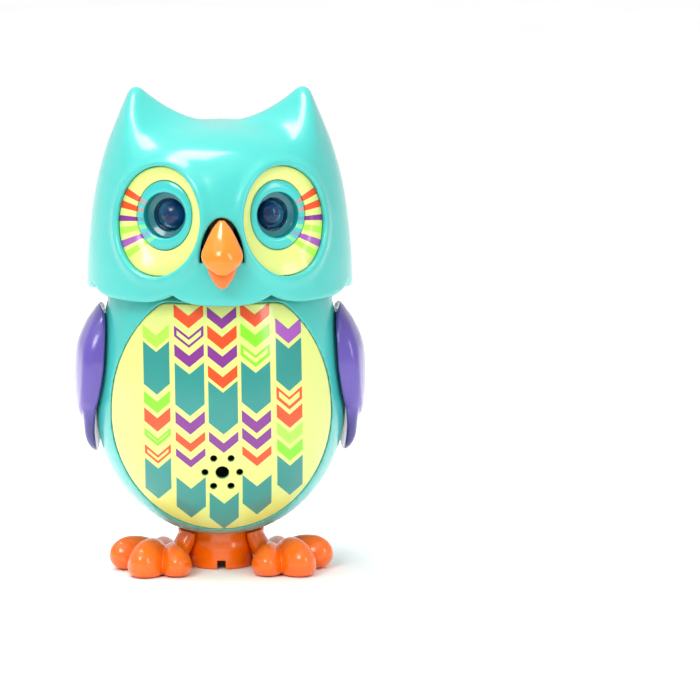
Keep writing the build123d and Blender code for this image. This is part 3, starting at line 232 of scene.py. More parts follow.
def belly_print():
    """Five columns of chevrons: in each column the ink only depends on height along the V."""
    finish = moulded(Finish("printed_belly"), LIME)
    x, y, z = finish.axes()
    height = z * 0.988 + y * 0.156 + 2.28
    lean = x - (height * -0.012 + 0.6)
    columns = (
        (-13.19, 2.62, 0.85, (
            (291, 358, "pale"), (380, 598, "teal"), (631, 693, "green"), (718, 787, "orange"),
            (821, 862, "green_line"), (906, 955, "orange_line"), (980, 1140, "teal"))),
        (-6.63, 2.95, 0.81, (
            (191, 260, "orange"), (301, 358, "purple_line"), (398, 458, "purple"), (495, 710, "teal"),
            (741, 802, "purple"), (846, 893, "orange"), (934, 975, "purple"), (1083, 1237, "teal"))),
        (0.0, 2.95, 0.81, (
            (206, 262, "purple"), (301, 368, "orange"), (401, 462, "purple"), (506, 567, "orange"),
            (590, 805, "teal"), (846, 897, "purple"), (1162, 1297, "teal"))),
        (6.64, 2.95, 0.81, (
            (186, 252, "orange"), (293, 358, "green"), (396, 457, "green_line"), (487, 698, "teal"),
            (736, 797, "purple"), (829, 885, "purple"), (923, 970, "orange"), (1073, 1225, "teal"))),
        (13.36, 2.62, 0.85, (
            (264, 337, "lilac"), (365, 583, "teal"), (611, 677, "orange_line"), (704, 773, "orange"),
            (796, 858, "pale"), (884, 943, "green"), (970, 1122, "teal"))),
    )
    colour = finish.shader.inputs["Base Color"].links[0].from_socket
    low, span = 5.0, 50.0
    line = 0.66
    for centre, half, slope, marks in columns:
        side = (lean - centre).op("ABSOLUTE")
        along = (height - side * slope - low) * (1.0 / span)
        solid, hollow = [(0.0, (0, 0, 0))], [(0.0, (0, 0, 0))]
        mask, core = [(0.0, (0, 0, 0))], [(0.0, (0, 0, 0))]
        for notch, tip, ink in marks:
            ends = [(60.47 - 0.03904 * end - low) / span for end in (tip, notch)]
            shade = INK[ink.split("_")[0]]
            solid += [(ends[0], shade)]
            mask += [(ends[0], (1, 1, 1)), (ends[1], (0, 0, 0))]
            if ink.endswith("line"):
                core += [(ends[0] + line / span, (1, 1, 1)), (ends[1] - line / span, (0, 0, 0))]
        ink_colour = finish.ramp(along, solid, constant=True)
        inside = side < half
        shown = finish.ramp(along, mask, constant=True)
        factor = Value(finish.tree, shown) * inside
        if len(core) > 1:
            centre_part = Value(finish.tree, finish.ramp(along, core, constant=True)) * (
                side < half - line * 0.8)
            factor = factor * (centre_part * -1.0 + 1.0)
        colour = finish.mix(factor, colour, ink_colour)
    finish.set(Base_Color=colour, Coat_Weight=0.4, Coat_Roughness=0.08)
    finish.set(Subsurface_Weight=0.08, Subsurface_Radius=(1.0, 1.0, 0.4), Subsurface_Scale=0.001)
    return finish.material


def eye_frame(side):
    """(centre, across, up, out) of one eye, in millimetres."""
    turn, tilt = math.radians(24.0), math.radians(4.0)
    out = np.array((side * math.sin(turn) * math.cos(tilt), -math.cos(turn) * math.cos(tilt), math.sin(tilt)))
    right = np.array((math.cos(turn), side * math.sin(turn), 0.0))
    return np.array((side * 13.0, -22.65, 75.0)), right, np.cross(out, right), out


def eye_print(side, name, base, strength, floor=-9.0):
    """Rays that spread outwards from the pupil, on the outer half of one eye."""
    finish = moulded(Finish(name), base)
    centre, right, up, out = eye_frame(side)
    place = finish.axes()

    def along(direction):
        offset = float(direction @ centre)
        x, y, z = (axis * float(part) for axis, part in zip(place, direction))
        return x + y + z - offset

    outward = along(right) * float(side) + 2.6
    angle = (along(up) + 1.0).op("ARCTAN2", outward) * (1.0 / (2 * math.pi)) + 0.5
    rays = ((25.5, 4.0, "orange"), (12.2, 3.7, "orange"), (-0.4, 3.1, "purple"), (-12.6, 3.6, "pale"),
            (-25.4, 3.5, "lilac"), (-36.8, 3.6, "pale"))
    shades, mask = [(0.0, (0, 0, 0))], [(0.0, (0, 0, 0))]
    for middle, half, ink in rays:
        low, high = ((middle + end) / 360.0 + 0.5 for end in (-half, half))
        shades.append((low, INK[ink]))
        mask += [(low, (1, 1, 1)), (high, (0, 0, 0))]
    ink_colour = finish.ramp(angle, shades, constant=True)
    factor = Value(finish.tree, finish.ramp(angle, mask, constant=True)) * strength * (along(out) > floor)
    colour = finish.shader.inputs["Base Color"].links[0].from_socket
    finish.set(Base_Color=finish.mix(factor, colour, ink_colour), Coat_Weight=0.3, Coat_Roughness=0.1)
    return finish


# ------------------------------------------------------------------ sculpted meshes
def smin(a, b, k):
    h = np.clip(0.5 + 0.5 * (b - a) / k, 0.0, 1.0)
    return b * (1 - h) + a * h - k * h * (1 - h)


def smax(a, b, k):
    return -smin(-a, -b, k)


def through(points, samples=40):
    """Points along a smooth open curve through the given ones."""
    p = np.array(points, float)
    p = np.vstack((2 * p[0] - p[1], p, 2 * p[-1] - p[-2]))
    t = np.linspace(0, 1, samples, endpoint=False)[:, None]
    runs = [0.5 * ((2 * b) + (c - a) * t + (2 * a - 5 * b + 4 * c - d) * t**2
                   + (3 * b - a - 3 * c + d) * t**3)
            for a, b, c, d in zip(p, p[1:], p[2:], p[3:])]
    return np.vstack(runs + [p[-2][None]])


def lookup(table):
    """Smooth function of one value from (value, result) rows in rising order."""
    rows = through(table)
    return lambda value: np.interp(value, rows[:, 0], rows[:, 1])


def outline(points):
    """Signed distance to a closed smooth outline in two coordinates."""
    loop = list(points)
    ring = through([loop[-1]] + loop + loop[:2], 10)[10:-10]
    a, b = ring, np.roll(ring, -1, axis=0)

    def distance(u, v):
        best = np.full(u.shape, 1e9)
        inside = np.zeros(u.shape, bool)
        for (ax, ay), (bx, by) in zip(a, b):
            ex, ey = bx - ax, by - ay
            length = ex * ex + ey * ey
            if length < 1e-9:
                continue
            t = np.clip(((u - ax) * ex + (v - ay) * ey) / length, 0, 1)
            best = np.minimum(best, (u - ax - t * ex) ** 2 + (v - ay - t * ey) ** 2)
            inside ^= ((ay > v) != (by > v)) & (u < ex * (v - ay) / (by - ay if by != ay else 1e-9) + ax)
        return np.where(inside, -1, 1) * np.sqrt(best)
    return distance


def box_field(x, y, z, low, high):
    middle, half = [(a + b) / 2 for a, b in zip(low, high)], [(b - a) / 2 for a, b in zip(low, high)]
    return np.maximum.reduce([np.abs(p - m) - h for p, m, h in zip((x, y, z), middle, half)])


def make_object(name, points, faces, finish):
    """A smooth mesh object from points in millimetres and an array of quads."""
    mesh = bpy.data.meshes.new(name)
    mesh.vertices.add(len(points))
    mesh.vertices.foreach_set("co", (np.asarray(points, float) * MM).astype(np.float32).ravel())
    mesh.loops.add(faces.size)
    mesh.loops.foreach_set("vertex_index", faces.astype(np.int32).ravel())
    mesh.polygons.add(len(faces))
    mesh.polygons.foreach_set("loop_start", np.arange(0, faces.size, 4, dtype=np.int32))
    mesh.polygons.foreach_set("use_smooth", np.ones(len(faces), bool))
    mesh.update(calc_edges=True)
    mesh.materials.append(finish)
    thing = bpy.data.objects.new(name, mesh)
    bpy.context.scene.collection.objects.link(thing)
    return thing


def sculpt(name, field, low, high, cell, finish):
    """Meshes the surface where field is zero: one point per crossed cell, pulled onto the surface."""
    sides = [np.arange(a - 1.5 * cell, b + 2.5 * cell, cell) for a, b in zip(low, high)]
    values = field(*np.meshgrid(*sides, indexing="ij"))
    shape = np.array(values.shape)
    cells = shape - 1
    inside = values < 0
    crossing = []
    for axis in range(3):
        first = [slice(None)] * 3
        second = [slice(None)] * 3
        first[axis], second[axis] = slice(0, -1), slice(1, None)
        at = np.argwhere(inside[tuple(first)] != inside[tuple(second)])
        start = values[tuple(at.T)]
        step = np.zeros(3, int)
        step[axis] = 1
        end = values[tuple((at + step).T)]
        spot = np.stack([sides[d][at[:, d]] for d in range(3)], 1)
        spot[:, axis] += cell * start / (start - end)
        crossing.append((at, spot, start < 0))
    total = np.zeros((cells.prod(), 3))
    count = np.zeros(cells.prod())
    quads = []
    for axis, (at, spot, leaving) in enumerate(crossing):
        u, v = (axis + 1) % 3, (axis + 2) % 3
        corners = []
        for du, dv in ((-1, -1), (0, -1), (0, 0), (-1, 0)):
            cell_at = at.copy()
            cell_at[:, u] += du
            cell_at[:, v] += dv
            flat = np.ravel_multi_index(tuple(cell_at.T), tuple(cells))
            corners.append(flat)
            for d in range(3):
                total[:, d] += np.bincount(flat, spot[:, d], len(count))
            count += np.bincount(flat, minlength=len(count))
        loop = np.stack(corners, 1)
        loop[~leaving] = loop[~leaving][:, ::-1]
        quads.append(loop)
    used = np.flatnonzero(count)
    number = np.full(len(count), -1)
    number[used] = np.arange(len(used))
    points = total[used] / count[used][:, None]
    eps = 0.02
    for _ in range(4):
        here = field(*points.T)
        slope = np.stack([field(*(points + eps * e).T) - field(*(points - eps * e).T) for e in np.eye(3)], 1)
        slope /= 2 * eps
        move = -(here / np.maximum((slope**2).sum(1), 1e-3))[:, None] * slope
        size = np.linalg.norm(move, axis=1)[:, None]
        points += move * np.minimum(1.0, 0.4 * cell / np.maximum(size, 1e-9))
    return make_object(name, points, number[np.vstack(quads)], finish)


def mirrored(thing, name):
    """A copy of a mesh object on the other side of x = 0."""
    mesh = thing.data.copy()
    mesh.name = name
    points = np.zeros(len(mesh.vertices) * 3, np.float32)
    mesh.vertices.foreach_get("co", points)
    points[::3] *= -1
    mesh.vertices.foreach_set("co", points)
    mesh.flip_normals()
    copy = bpy.data.objects.new(name, mesh)
    bpy.context.scene.collection.objects.link(copy)
    return copy


def place(thing, body, slot, *nodes):
    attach(thing, body)
    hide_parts(*nodes)


# ---- sizes that more than one piece shares
BELT_R = 25.6            # the egg's widest ring, and its height
BELT_Z = 34.0
EGG_LOW = 27.6           # from that ring down to the egg's lowest point
EGG_HIGH = 48.0          # and up to its highest
DOOR_HALF_WIDTH = 12.0
DOOR_HALF_HEIGHT = 10.5
DOOR_Z = 30.1
DOOR_CORNER = 2.4
DOOR_SCREW_Z = 38.4
SOUND_Z = 23.2           # middle of the seven sound holes
SOUND_RING_R = 3.48
SCREW_RECESS_R = 2.1     # wells of the casings' screws, the posts under them and the holes in those
SCREW_POST_R = 3.0
SCREW_HOLE_R = 1.15
WING_X = 20.2            # axis of the wings' pins
WING_Z = 51.5
BEAK_Y = 21.5            # axis of the beak's pin, in front of the neck
BEAK_Z = 73.2
BEAK_HALF = 1.2          # of the root's thickness
BEAK_HUB_R = 1.2
DISH_OUT = 0.5           # the dish's outline lies this far outwards and down from the lens
DISH_DROP = 1.1

# ---- head: leaning walls under a top that rises to the two ears, hollow, with a scalloped rim
wall = lookup(((55.0, 27.0), (58.0, 27.1), (61.0, 27.0), (64.3, 26.85), (67.6, 26.6), (70.9, 26.25),
               (74.2, 25.85),
               (77.5, 25.3), (80.8, 24.6), (84.1, 23.7), (87.4, 22.65), (90.7, 21.35), (94.0, 20.0),
               (97.3, 18.55), (100.0, 16.9), (104.0, 14.5)))
CUSPS = (22, 74, 126, 180, 234, 286, 338)


def head_top(x, y):
    """Height of the head's top: a dome with a rise to each ear that is broad from front to back."""
    reach = np.minimum(1.0, np.hypot(x, y) / 26.4)
    dome = 17.3 * (1 - reach**2.6) ** (1 / 2.6)
    own = 17.3 * (1 - np.minimum(1.0, np.abs(x) / 26.4) ** 2.6) ** (1 / 2.6)
    rise = 17.3 - own + 0.0275 * x**2
    spread = 4.5 + 6.0 * (x / 17.0) ** 2
    return 74.0 + dome + rise * np.exp(-(np.abs(y) / spread) ** 1.6)


def eye_space(side, x, y, z):
    centre, right, up, out = eye_frame(side)
    dx, dy, dz = x - centre[0], y - centre[1], z - centre[2]
    return [d[0] * dx + d[1] * dy + d[2] * dz for d in (right, up, out)]


def oval(a, b, half_a, half_b):
    """Rough signed distance to an ellipse."""
    q = np.sqrt((a / half_a) ** 2 + (b / half_b) ** 2)
    return (q - 1) * q / np.maximum(1e-6, np.sqrt((a / half_a**2) ** 2 + (b / half_b**2) ** 2))


def head_skin(x, y, z, inset=0.0):
    side = np.hypot(x, y) - wall(z) + inset
    top = (z - head_top(x, y)) * 0.8 + inset
    return smax(side, top, 3.0)


def rim_height(x, y):
    """The rim's height round the head: arcs that meet in cusps."""
    turn = np.degrees(np.arctan2(x, -y)) % 360
    edges = np.array(CUSPS + (CUSPS[0] + 360,))
    turn = np.where(turn < edges[0], turn + 360, turn)
    place = np.clip(np.searchsorted(edges, turn, side="right") - 1, 0, len(edges) - 2)
    low, high = edges[place], edges[place + 1]
    share = np.abs((turn - (low + high) / 2) / ((high - low) / 2))
    return 57.3 + 2.0 * share ** 3.2


def head_outer(x, y, z):
    skin = head_skin(x, y, z)
    for side in (1, -1):
        a, b, c = eye_space(side, x, y, z)
        away = oval(a - side * 0.5, b + 1.1, 9.45, 11.0)
        skin = skin - 0.5 * np.exp(-(((away - 0.9) / 1.05) ** 2)) * (c > -8)
    return skin


def mouth_field(x, z):
    arch = (np.hypot(x / 4.45, np.maximum(z - 66.1, 0) / 8.9) - 1) * 4.4
    return np.maximum(arch, 66.1 - z)


def head_field(x, y, z):
    skin = head_outer(x, y, z)
    shell = smax(skin, rim_height(x, y) - z, 1.2)
    inner = np.maximum(np.hypot(x, y) - wall(np.minimum(z, 80.0)) + 1.6, z - 90.0)
    inner = np.maximum(inner, (np.hypot(np.hypot(x, y) / 24.5, np.maximum(z - 74, 0) / 16.0) - 1) * 16.0)
    shell = smax(shell, -inner, 0.4)
    for side in (1, -1):
        a, b, c = eye_space(side, x, y, z)
        opening = np.maximum(oval(a - side * DISH_OUT, b + DISH_DROP, 9.45, 11.0), -8.0 - c)
        shell = smax(shell, -opening, 0.7)
    mouth = np.maximum(mouth_field(x, z), y + 18.0)
    shell = smax(shell, -mouth, 0.45)
    for px, pz in ((20.4, 66.0), (-20.4, 66.0), (0.0, 87.0)):
        recess = np.maximum(np.hypot(x - px, z - pz) - SCREW_RECESS_R, 5.0 - y)
        shell = smax(shell, -recess, 0.4)
        post = np.maximum(np.hypot(x - px, z - pz) - SCREW_POST_R, -y)
        post = np.maximum(np.maximum(post, skin + 0.8), -np.maximum(np.hypot(x - px, z - pz)
                                                                    - SCREW_HOLE_R, -y))
        shell = np.minimum(shell, np.maximum(post, -recess))
    return shell


head = sculpt("head_casing", head_field, (-27.8, -27.8, 56.6), (27.8, 27.8, 100.0), CELL,
              shell_finish.material)
place(head, "head", "teal_shell", "head_front_shell", "head_rear_shell")

# ---- body: the egg with the belly's recess, wing slots, screw wells, door recess and switch window
egg = lookup([(z, BELT_R * math.sqrt(1 - ((z - BELT_Z) / (EGG_LOW if z < BELT_Z else EGG_HIGH)) ** 2))
              for z in np.linspace(7.0, 61.0, 28)])
BELLY = (22.3, 24.6, 27.3, BELT_Z)


def egg_field(x, y, z, inset=0.0):
    half = np.where(z < BELT_Z, EGG_LOW, EGG_HIGH) - inset
    q = np.sqrt((np.hypot(x, y) / (BELT_R - inset)) ** 2 + ((z - BELT_Z) / half) ** 2)
    return (q - 1) * (BELT_R - inset) * 0.97


def belly_oval(x, z, margin=0.0):
    half = np.where(z < BELLY[3], BELLY[1], BELLY[2]) - margin
    return smax(oval(x, z - BELLY[3], BELLY[0] - margin, half), z - 57.2 + margin, 1.0)


def door_shape(x, z, margin=0.0):
    away = (np.maximum(np.abs(x) - (DOOR_HALF_WIDTH - margin - DOOR_CORNER), 0),
            np.maximum(np.abs(z - DOOR_Z) - (DOOR_HALF_HEIGHT - margin - DOOR_CORNER), 0))
    return np.hypot(*away) - DOOR_CORNER


def body_field(x, y, z):
    skin = smax(egg_field(x, y, z), z - 58.6, 1.8)
    skin = smax(skin, 7.6 - z, 0.6)
    front = np.maximum(belly_oval(x, z), y)
    skin = smax(skin, -np.maximum(front, -(egg_field(x, y, z) + 1.0)), 0.25)
    rear = np.maximum(door_shape(x, z), -y)
    skin = smax(skin, -np.maximum(rear, -(egg_field(x, y, z) + 1.4)), 0.3)
    inner = np.maximum(egg_field(x, y, z, 1.8), z - 57.0)
    shell = smax(skin, -np.maximum(inner, 9.4 - z), 0.4)
    shell = np.maximum(shell, -np.maximum(np.hypot(x, y) - 5.85, 54.0 - z))
    shell = np.maximum(shell, -np.maximum(np.hypot(x, y - 15.0) - 1.05, 56.0 - z))
    slots = box_field(np.abs(x), y, z, (18.0, -3.0, 49.4), (30.0, 3.0, 54.7))
    shell = smax(shell, -slots, 0.5)
    window = box_field(x, y, z, (-10.8, 6.0, 23.05), (10.8, 30.0, 34.95))
    shell = np.maximum(shell, -window)
    knob = box_field(x, y, z, (-3.45, 15.0, 46.25), (3.45, 30.0, 48.55))
    shell = smax(shell, -knob, 0.4)
    for px, pz in ((18.3, 42.0), (-18.3, 42.0), (13.0, 16.0), (-13.0, 16.0)):
        recess = np.maximum(np.hypot(x - px, z - pz) - SCREW_RECESS_R, 5.0 - y)
        shell = smax(shell, -recess, 0.4)
        post = np.maximum(np.hypot(x - px, z - pz) - SCREW_POST_R, -y)
        post = np.maximum(np.maximum(post, egg_field(x, y, z) + 0.9),
                          -(np.hypot(x - px, z - pz) - SCREW_HOLE_R))
        shell = np.minimum(shell, np.maximum(post, -recess))
    screw = np.maximum(np.hypot(x, z - DOOR_SCREW_Z) - 1.0, -y)
    boss = np.maximum(np.maximum(np.hypot(x, z - DOOR_SCREW_Z) - 2.3, 16.8 - y), egg_field(x, y, z) + 1.5)
    shell = np.maximum(np.minimum(shell, boss), -screw)
    sound = np.maximum(sound_field(x, z), y)
    legs = np.maximum(np.hypot(np.abs(x) - 7.2, y + 1.5) - 1.75, z - 12)
    return np.maximum(shell, -np.minimum(sound, legs))


def sound_field(x, z):
    holes = np.hypot(x, z - SOUND_Z) - 1.35
    for step in range(6):
        turn = math.radians(60 * step)
        ring = np.hypot(x - SOUND_RING_R * math.cos(turn), z - SOUND_Z - SOUND_RING_R * math.sin(turn)) - 0.7
        holes = np.minimum(holes, ring)
    return holes


body = sculpt("body_casing", body_field, (-25.8, -25.8, 7.4), (25.8, 25.8, 58.8), CELL, shell_finish.material)
place(body, "body", "teal_shell", "body_front_shell", "body_rear_shell")


def panel_field(x, y, z):
    skin = smax(egg_field(x, y, z), belly_oval(x, z, 0.08), 0.25)
    skin = np.maximum(skin, -(egg_field(x, y, z) + 0.9))
    return smax(np.maximum(skin, y + 4.0), -sound_field(x, z), 0.25)


panel = sculpt("belly_panel_print", panel_field, (-22.5, -25.8, 9.0), (22.5, -8.0, 57.3), CELL * 0.8,
               belly_print())
place(panel, "body", "lime_panel", "belly_panel")


GRIP_Z = 24.2            # the door's finger ribs
GRIP_PITCH = 1.5


def door_field(x, y, z):
    skin = smax(egg_field(x, y, z), door_shape(x, z, 0.15), 0.4)
    skin = np.maximum(skin, -(egg_field(x, y, z) + 1.3))
    grip = 0.25 * (np.abs(x) < 5) * (np.abs(z - GRIP_Z) < 3.0) * (
        0.5 + 0.5 * np.cos((z - GRIP_Z) * 2 * math.pi / GRIP_PITCH))
    face = float(egg(DOOR_SCREW_Z)) - 0.7
    well = np.maximum(np.hypot(x, z - DOOR_SCREW_Z) - 2.05, face - y)
    skin = np.maximum(smax(skin + grip, -well, 0.3), -(np.hypot(x, z - DOOR_SCREW_Z) - SCREW_HOLE_R))
    peg_y = math.sqrt(float(egg(20.9)) ** 2 - 7.5**2) - 0.6
    peg = np.maximum(np.hypot(np.abs(x) - 7.5, z - 20.9) - 0.7, np.abs(y - peg_y + 1.2) - 1.2)
    return np.minimum(np.maximum(skin, -y), peg)


door = sculpt("battery_cover", door_field, (-12.2, 15.0, 19.4), (12.2, 26.0, 40.8), CELL * 0.8,
              shell_finish.material)
place(door, "door", "teal_shell", "battery_door")

# ---- wings: two feathers, one lying under the other, on a thin arm
upper_leaf = outline(((0.0, 55.2), (-7.6, 52.0), (-11.0, 44.0), (-9.2, 35.5), (-2.5, 30.8), (4.5, 31.6),
                      (9.8, 36.0), (11.0, 44.0), (7.6, 52.0)))
lower_leaf = outline(((-1.0, 48.0), (-7.6, 42.0), (-7.2, 33.0), (-1.9, 25.4), (3.4, 23.2), (7.6, 26.2),
                      (9.0, 34.0), (7.6, 42.0)))
wing_out = lookup(((20.5, 23.8), (23.0, 26.3), (26.5, 28.0), (30.8, 28.75), (35.0, 29.5), (41.0, 29.7),
                   (46.0, 29.2), (50.0, 27.6), (52.6, 25.9), (54.5, 24.4), (57.0, 21.6)))
wing_in = lookup(((22.0, 24.9), (24.4, 25.3), (30.0, 26.15), (37.0, 26.3), (45.0, 25.75), (50.0, 24.85),
                  (54.6, 23.75), (57.0, 23.2)))


def wing_field(x, y, z):
    r = np.hypot(x, y)
    outer, inner = (r - wing_out(z)) * 0.95, wing_in(z) - r
    edge = upper_leaf(y, z)
    upper = smax(smax(outer, edge, 1.8), inner, 0.7)
    under = smax(smax(outer + 0.45, lower_leaf(y, z), 1.0), inner, 0.6)
    blade = np.maximum(smin(upper, under, 0.12), -x)
    lean = math.radians(21.0)
    dx, dz = x - WING_X, z - WING_Z
    swung = egg_field(WING_X + dx * math.cos(lean) + dz * -math.sin(lean), y,
                      WING_Z + dx * math.sin(lean) + dz * math.cos(lean), -0.3)
    blade = np.maximum(blade, -swung)
    arm = box_field(x, y, z, (WING_X, -2.2, 50.5), (24.6, 2.2, 52.5)) - 0.0
    hub = np.maximum(np.hypot(x - WING_X, z - WING_Z) - 1.65, np.abs(y) - 2.7)
    lever = box_field(x, y, z, (8.2, -1.9, 51.15), (WING_X, 1.9, 51.85))
    tip = np.maximum(np.hypot(x - 8.2, z - WING_Z) - 0.75, np.abs(y) - 1.9)
    works = np.minimum(np.minimum(hub, arm), np.minimum(lever, tip))
    works = np.maximum(works, -(np.hypot(x - WING_X, z - WING_Z) - 0.8))
    return np.minimum(blade, works)


wing = sculpt("wing_feathers_left", wing_field, (7.3, -11.4, 23.2), (30.0, 11.4, 55.6), CELL * 0.8,
              violet_finish.material)
place(wing, "left_wing", "violet_wing", "wing_left")
wing = mirrored(wing, "wing_feathers_right")
place(wing, "right_wing", "violet_wing", "wing_right")


# ---- feet: fat toes pressed together, a leg up to the body, and a socket with two notches
def toe(x, y, z, heel, tip, width, height):
    """An egg lying from heel to tip, fattest near the tip and near the ground."""
    heel, tip = np.array(heel, float), np.array(tip, float)
    length = np.linalg.norm(tip - heel)
    way = (tip - heel) / length
    side = np.array((-way[1], way[0], 0)) / math.hypot(way[0], way[1])
    up = np.cross(way, side)
    up = up if up[2] > 0 else -up
    dx, dy, dz = x - heel[0], y - heel[1], z - heel[2]
    a, b, c = [v[0] * dx + v[1] * dy + v[2] * dz for v in (way, side, up)]
    fat = 0.62 * length
    run = np.where(a > fat, (a - fat) / (length - fat), (a - fat) / fat)
    rise = np.clip(c / height, -1, 1)
    girth = width * (1 - 0.22 * rise)
    q = np.sqrt(run**2 + (b / girth) ** 2 + (c / height) ** 2)
    return (q - 1) * width * 0.9


def foot_field(x, y, z):
    toes = toe(x, y, z, (10.4, -2.5, 3.0), (8.9, -16.4, 2.4), 3.3, 3.5)
    toes = smin(toes, toe(x, y, z, (12.4, -3.0, 3.4), (16.9, -16.8, 2.7), 3.75, 4.3), 0.25)
    toes = smin(toes, toe(x, y, z, (12.4, -1.0, 3.2), (22.5, -6.6, 3.1), 3.4, 3.6), 0.25)
    toes = smin(toes, toe(x, y, z, (10.5, -2.0, 2.6), (12.3, 13.4, 1.6), 2.9, 2.3), 0.5)
    reach = np.clip((z - 2.0) / 5.0, 0, 1)
    leg = np.hypot((x - 9.2 + 2.8 * reach) / 2.3, (y + 3.0 - 1.2 * reach) / (3.4 - 0.5 * reach)) - 1
    leg = np.maximum(leg * 2.3, np.maximum(2.0 - z, z - 12.1))
    foot = smin(toes, leg, 1.2)
    foot = smax(foot, -egg_field(x, y, z, -0.15), 0.3)
    foot = smax(foot, -z, 0.7)
    foot = np.maximum(foot, -(np.hypot(x, y) - 6.7))
    stub = np.maximum(np.hypot(x - 7.2, y + 1.5) - 1.6, np.maximum(7.0 - z, z - 11.0))
    return np.minimum(foot, stub)


foot = sculpt("toes_left", foot_field, (4.4, -19.2, -0.2), (24.2, 14.2, 13.0), CELL * 0.8,
              orange_finish.material)
place(foot, "body", "orange_plastic", "foot_left")
foot = mirrored(foot, "toes_right")
place(foot, "body", "orange_plastic", "foot_right")


def base_field(x, y, z):
    r = np.hypot(x, y)
    collar = smax(r - 6.6, z - 5.4, 1.6)
    collar = smax(np.maximum(collar, -z), -z + 0.0, 0.2)
    neck = np.maximum(r - 6.3, np.maximum(4.0 - z, z - 7.6))
    base = smin(collar, neck, 0.6)
    base = smax(base, -np.maximum(r - 5.7, z - 4.6), 0.3)
    notch = np.maximum(np.abs(x) - 0.85, z - 1.8)
    base = smax(base, -notch, 0.3)
    screws = np.hypot(x, np.abs(y) - 3.5)
    wells = np.minimum(screws - 1.15, np.maximum(screws - 2.0, z - 6.0))
    return np.maximum(base, -wells)


base = sculpt("perch_collar", base_field, (-6.8, -6.8, -0.1), (6.8, 6.8, 7.7), 0.25, orange_finish.material)
place(base, "body", "orange_plastic", "perch_base")

# ---- beak
beak_wide = lookup(((64.2, 0.5), (64.6, 1.15), (65.2, 2.1), (66.0, 3.15), (66.9, 3.9), (67.8, 4.15),
                    (68.8, 4.0),
                    (70.2, 3.4), (71.6, 2.7), (73.0, 1.9), (74.0, 1.1), (74.8, 0.3)))
beak_mid = lookup(((64.2, -32.1), (64.8, -31.9), (65.5, -31.4), (66.6, -30.6), (68.0, -29.7), (69.6, -28.8),
                   (71.4, -27.8), (73.0, -26.9), (74.2, -26.2), (74.8, -25.9)))
beak_deep = lookup(((64.2, 0.3), (64.8, 0.7), (65.5, 1.6), (66.6, 2.5), (68.0, 3.35), (69.6, 3.6),
                    (71.4, 3.1),
                    (73.0, 2.2), (74.2, 1.2), (74.8, 0.4)))
low_wide = lookup(((61.2, 0.2), (61.9, 1.0), (63.2, 2.05), (65.0, 2.85), (66.6, 2.95), (67.2, 2.6)))
low_mid = lookup(((61.2, -30.0), (61.9, -29.9), (63.2, -29.4), (65.0, -28.8), (66.6, -28.2), (67.2, -28.0)))
low_deep = lookup(((61.2, 0.3), (61.9, 0.9), (63.2, 1.6), (65.0, 1.95), (66.6, 1.75), (67.2, 1.5)))


def horn(x, y, z, wide, mid, deep, power, low, high, grow=0.0):
    q = (np.abs(x) / (wide(z) + grow)) ** power + (np.abs(y - mid(z)) / (deep(z) + grow)) ** power
    return np.maximum((q ** (1 / power) - 1) * np.minimum(wide(z), deep(z)),
                      np.maximum(low - z, z - high) * 0.9)


def beak_upper_field(x, y, z):
    beak = horn(x, y, z, beak_wide, beak_mid, beak_deep, 1.75, 64.45, 74.6)
    hollow = horn(x, y, z, low_wide, low_mid, low_deep, 2.0, 60.0, 67.3, 0.3)
    beak = smax(beak, -np.maximum(hollow, z - 67.3), 0.2)
    beak = np.maximum(beak, -(head_skin(x, y, z) - 0.12))
    root = box_field(x, y, z, (-BEAK_HALF, -27.4, 72.2), (BEAK_HALF, -BEAK_Y, 73.55))
    hub = np.maximum(np.hypot(y + BEAK_Y, z - BEAK_Z) - BEAK_HUB_R, np.abs(x) - BEAK_HALF)
    bar_y = np.clip((y + BEAK_Y) / 7.4, 0, 1)
    bar = np.maximum(np.abs(z - (BEAK_Z - 1.2 * bar_y)) - 0.8, np.maximum(-BEAK_Y - y, y + 14.1))
    foot = box_field(x, y, z, (-BEAK_HALF, -16.9, 70.2), (BEAK_HALF, -14.1, 72.0))
    works = np.minimum(np.minimum(root, hub), np.minimum(np.maximum(bar, np.abs(x) - BEAK_HALF), foot))
    works = np.maximum(works, -(np.hypot(y + BEAK_Y, z - BEAK_Z) - 0.65))
    return np.minimum(beak, works)


def beak_lower_field(x, y, z):
    beak = horn(x, y, z, low_wide, low_mid, low_deep, 1.9, 61.5, 66.9)
    beak = np.maximum(beak, -(head_skin(x, y, z) - 0.12))
    spigot = np.maximum(np.hypot(x, z - 64.4) - 1.2, np.maximum(-28.4 - y, y + 24.6))
    return np.minimum(beak, spigot)


beak = sculpt("beak_top", beak_upper_field, (-4.4, -33.0, 64.0), (4.4, -13.8, 75.0), 0.22,
              lit_beak_finish.material)
place(beak, "beak", "orange_plastic", "beak_upper")
beak = sculpt("beak_bottom", beak_lower_field, (-3.1, -31.3, 61.2), (3.1, -24.4, 67.2), 0.2,
              orange_finish.material)
place(beak, "head", "orange_plastic", "beak_lower")


# ---- eyes: each piece is turned about its eye's own axis
def skin_depth(side, a, b):
    """How far along the eye's axis the head's smooth skin lies under each point of the eye plane."""
    centre, right, up, out = eye_frame(side)
    low, high = np.full(a.shape, -12.0), np.full(a.shape, 6.0)
    for _ in range(30):
        middle = (low + high) / 2
        spot = [centre[i] + right[i] * a + up[i] * b + out[i] * middle for i in range(3)]
        solid = head_skin(*spot) < 0
        low, high = np.where(solid, middle, low), np.where(solid, high, middle)
    return low


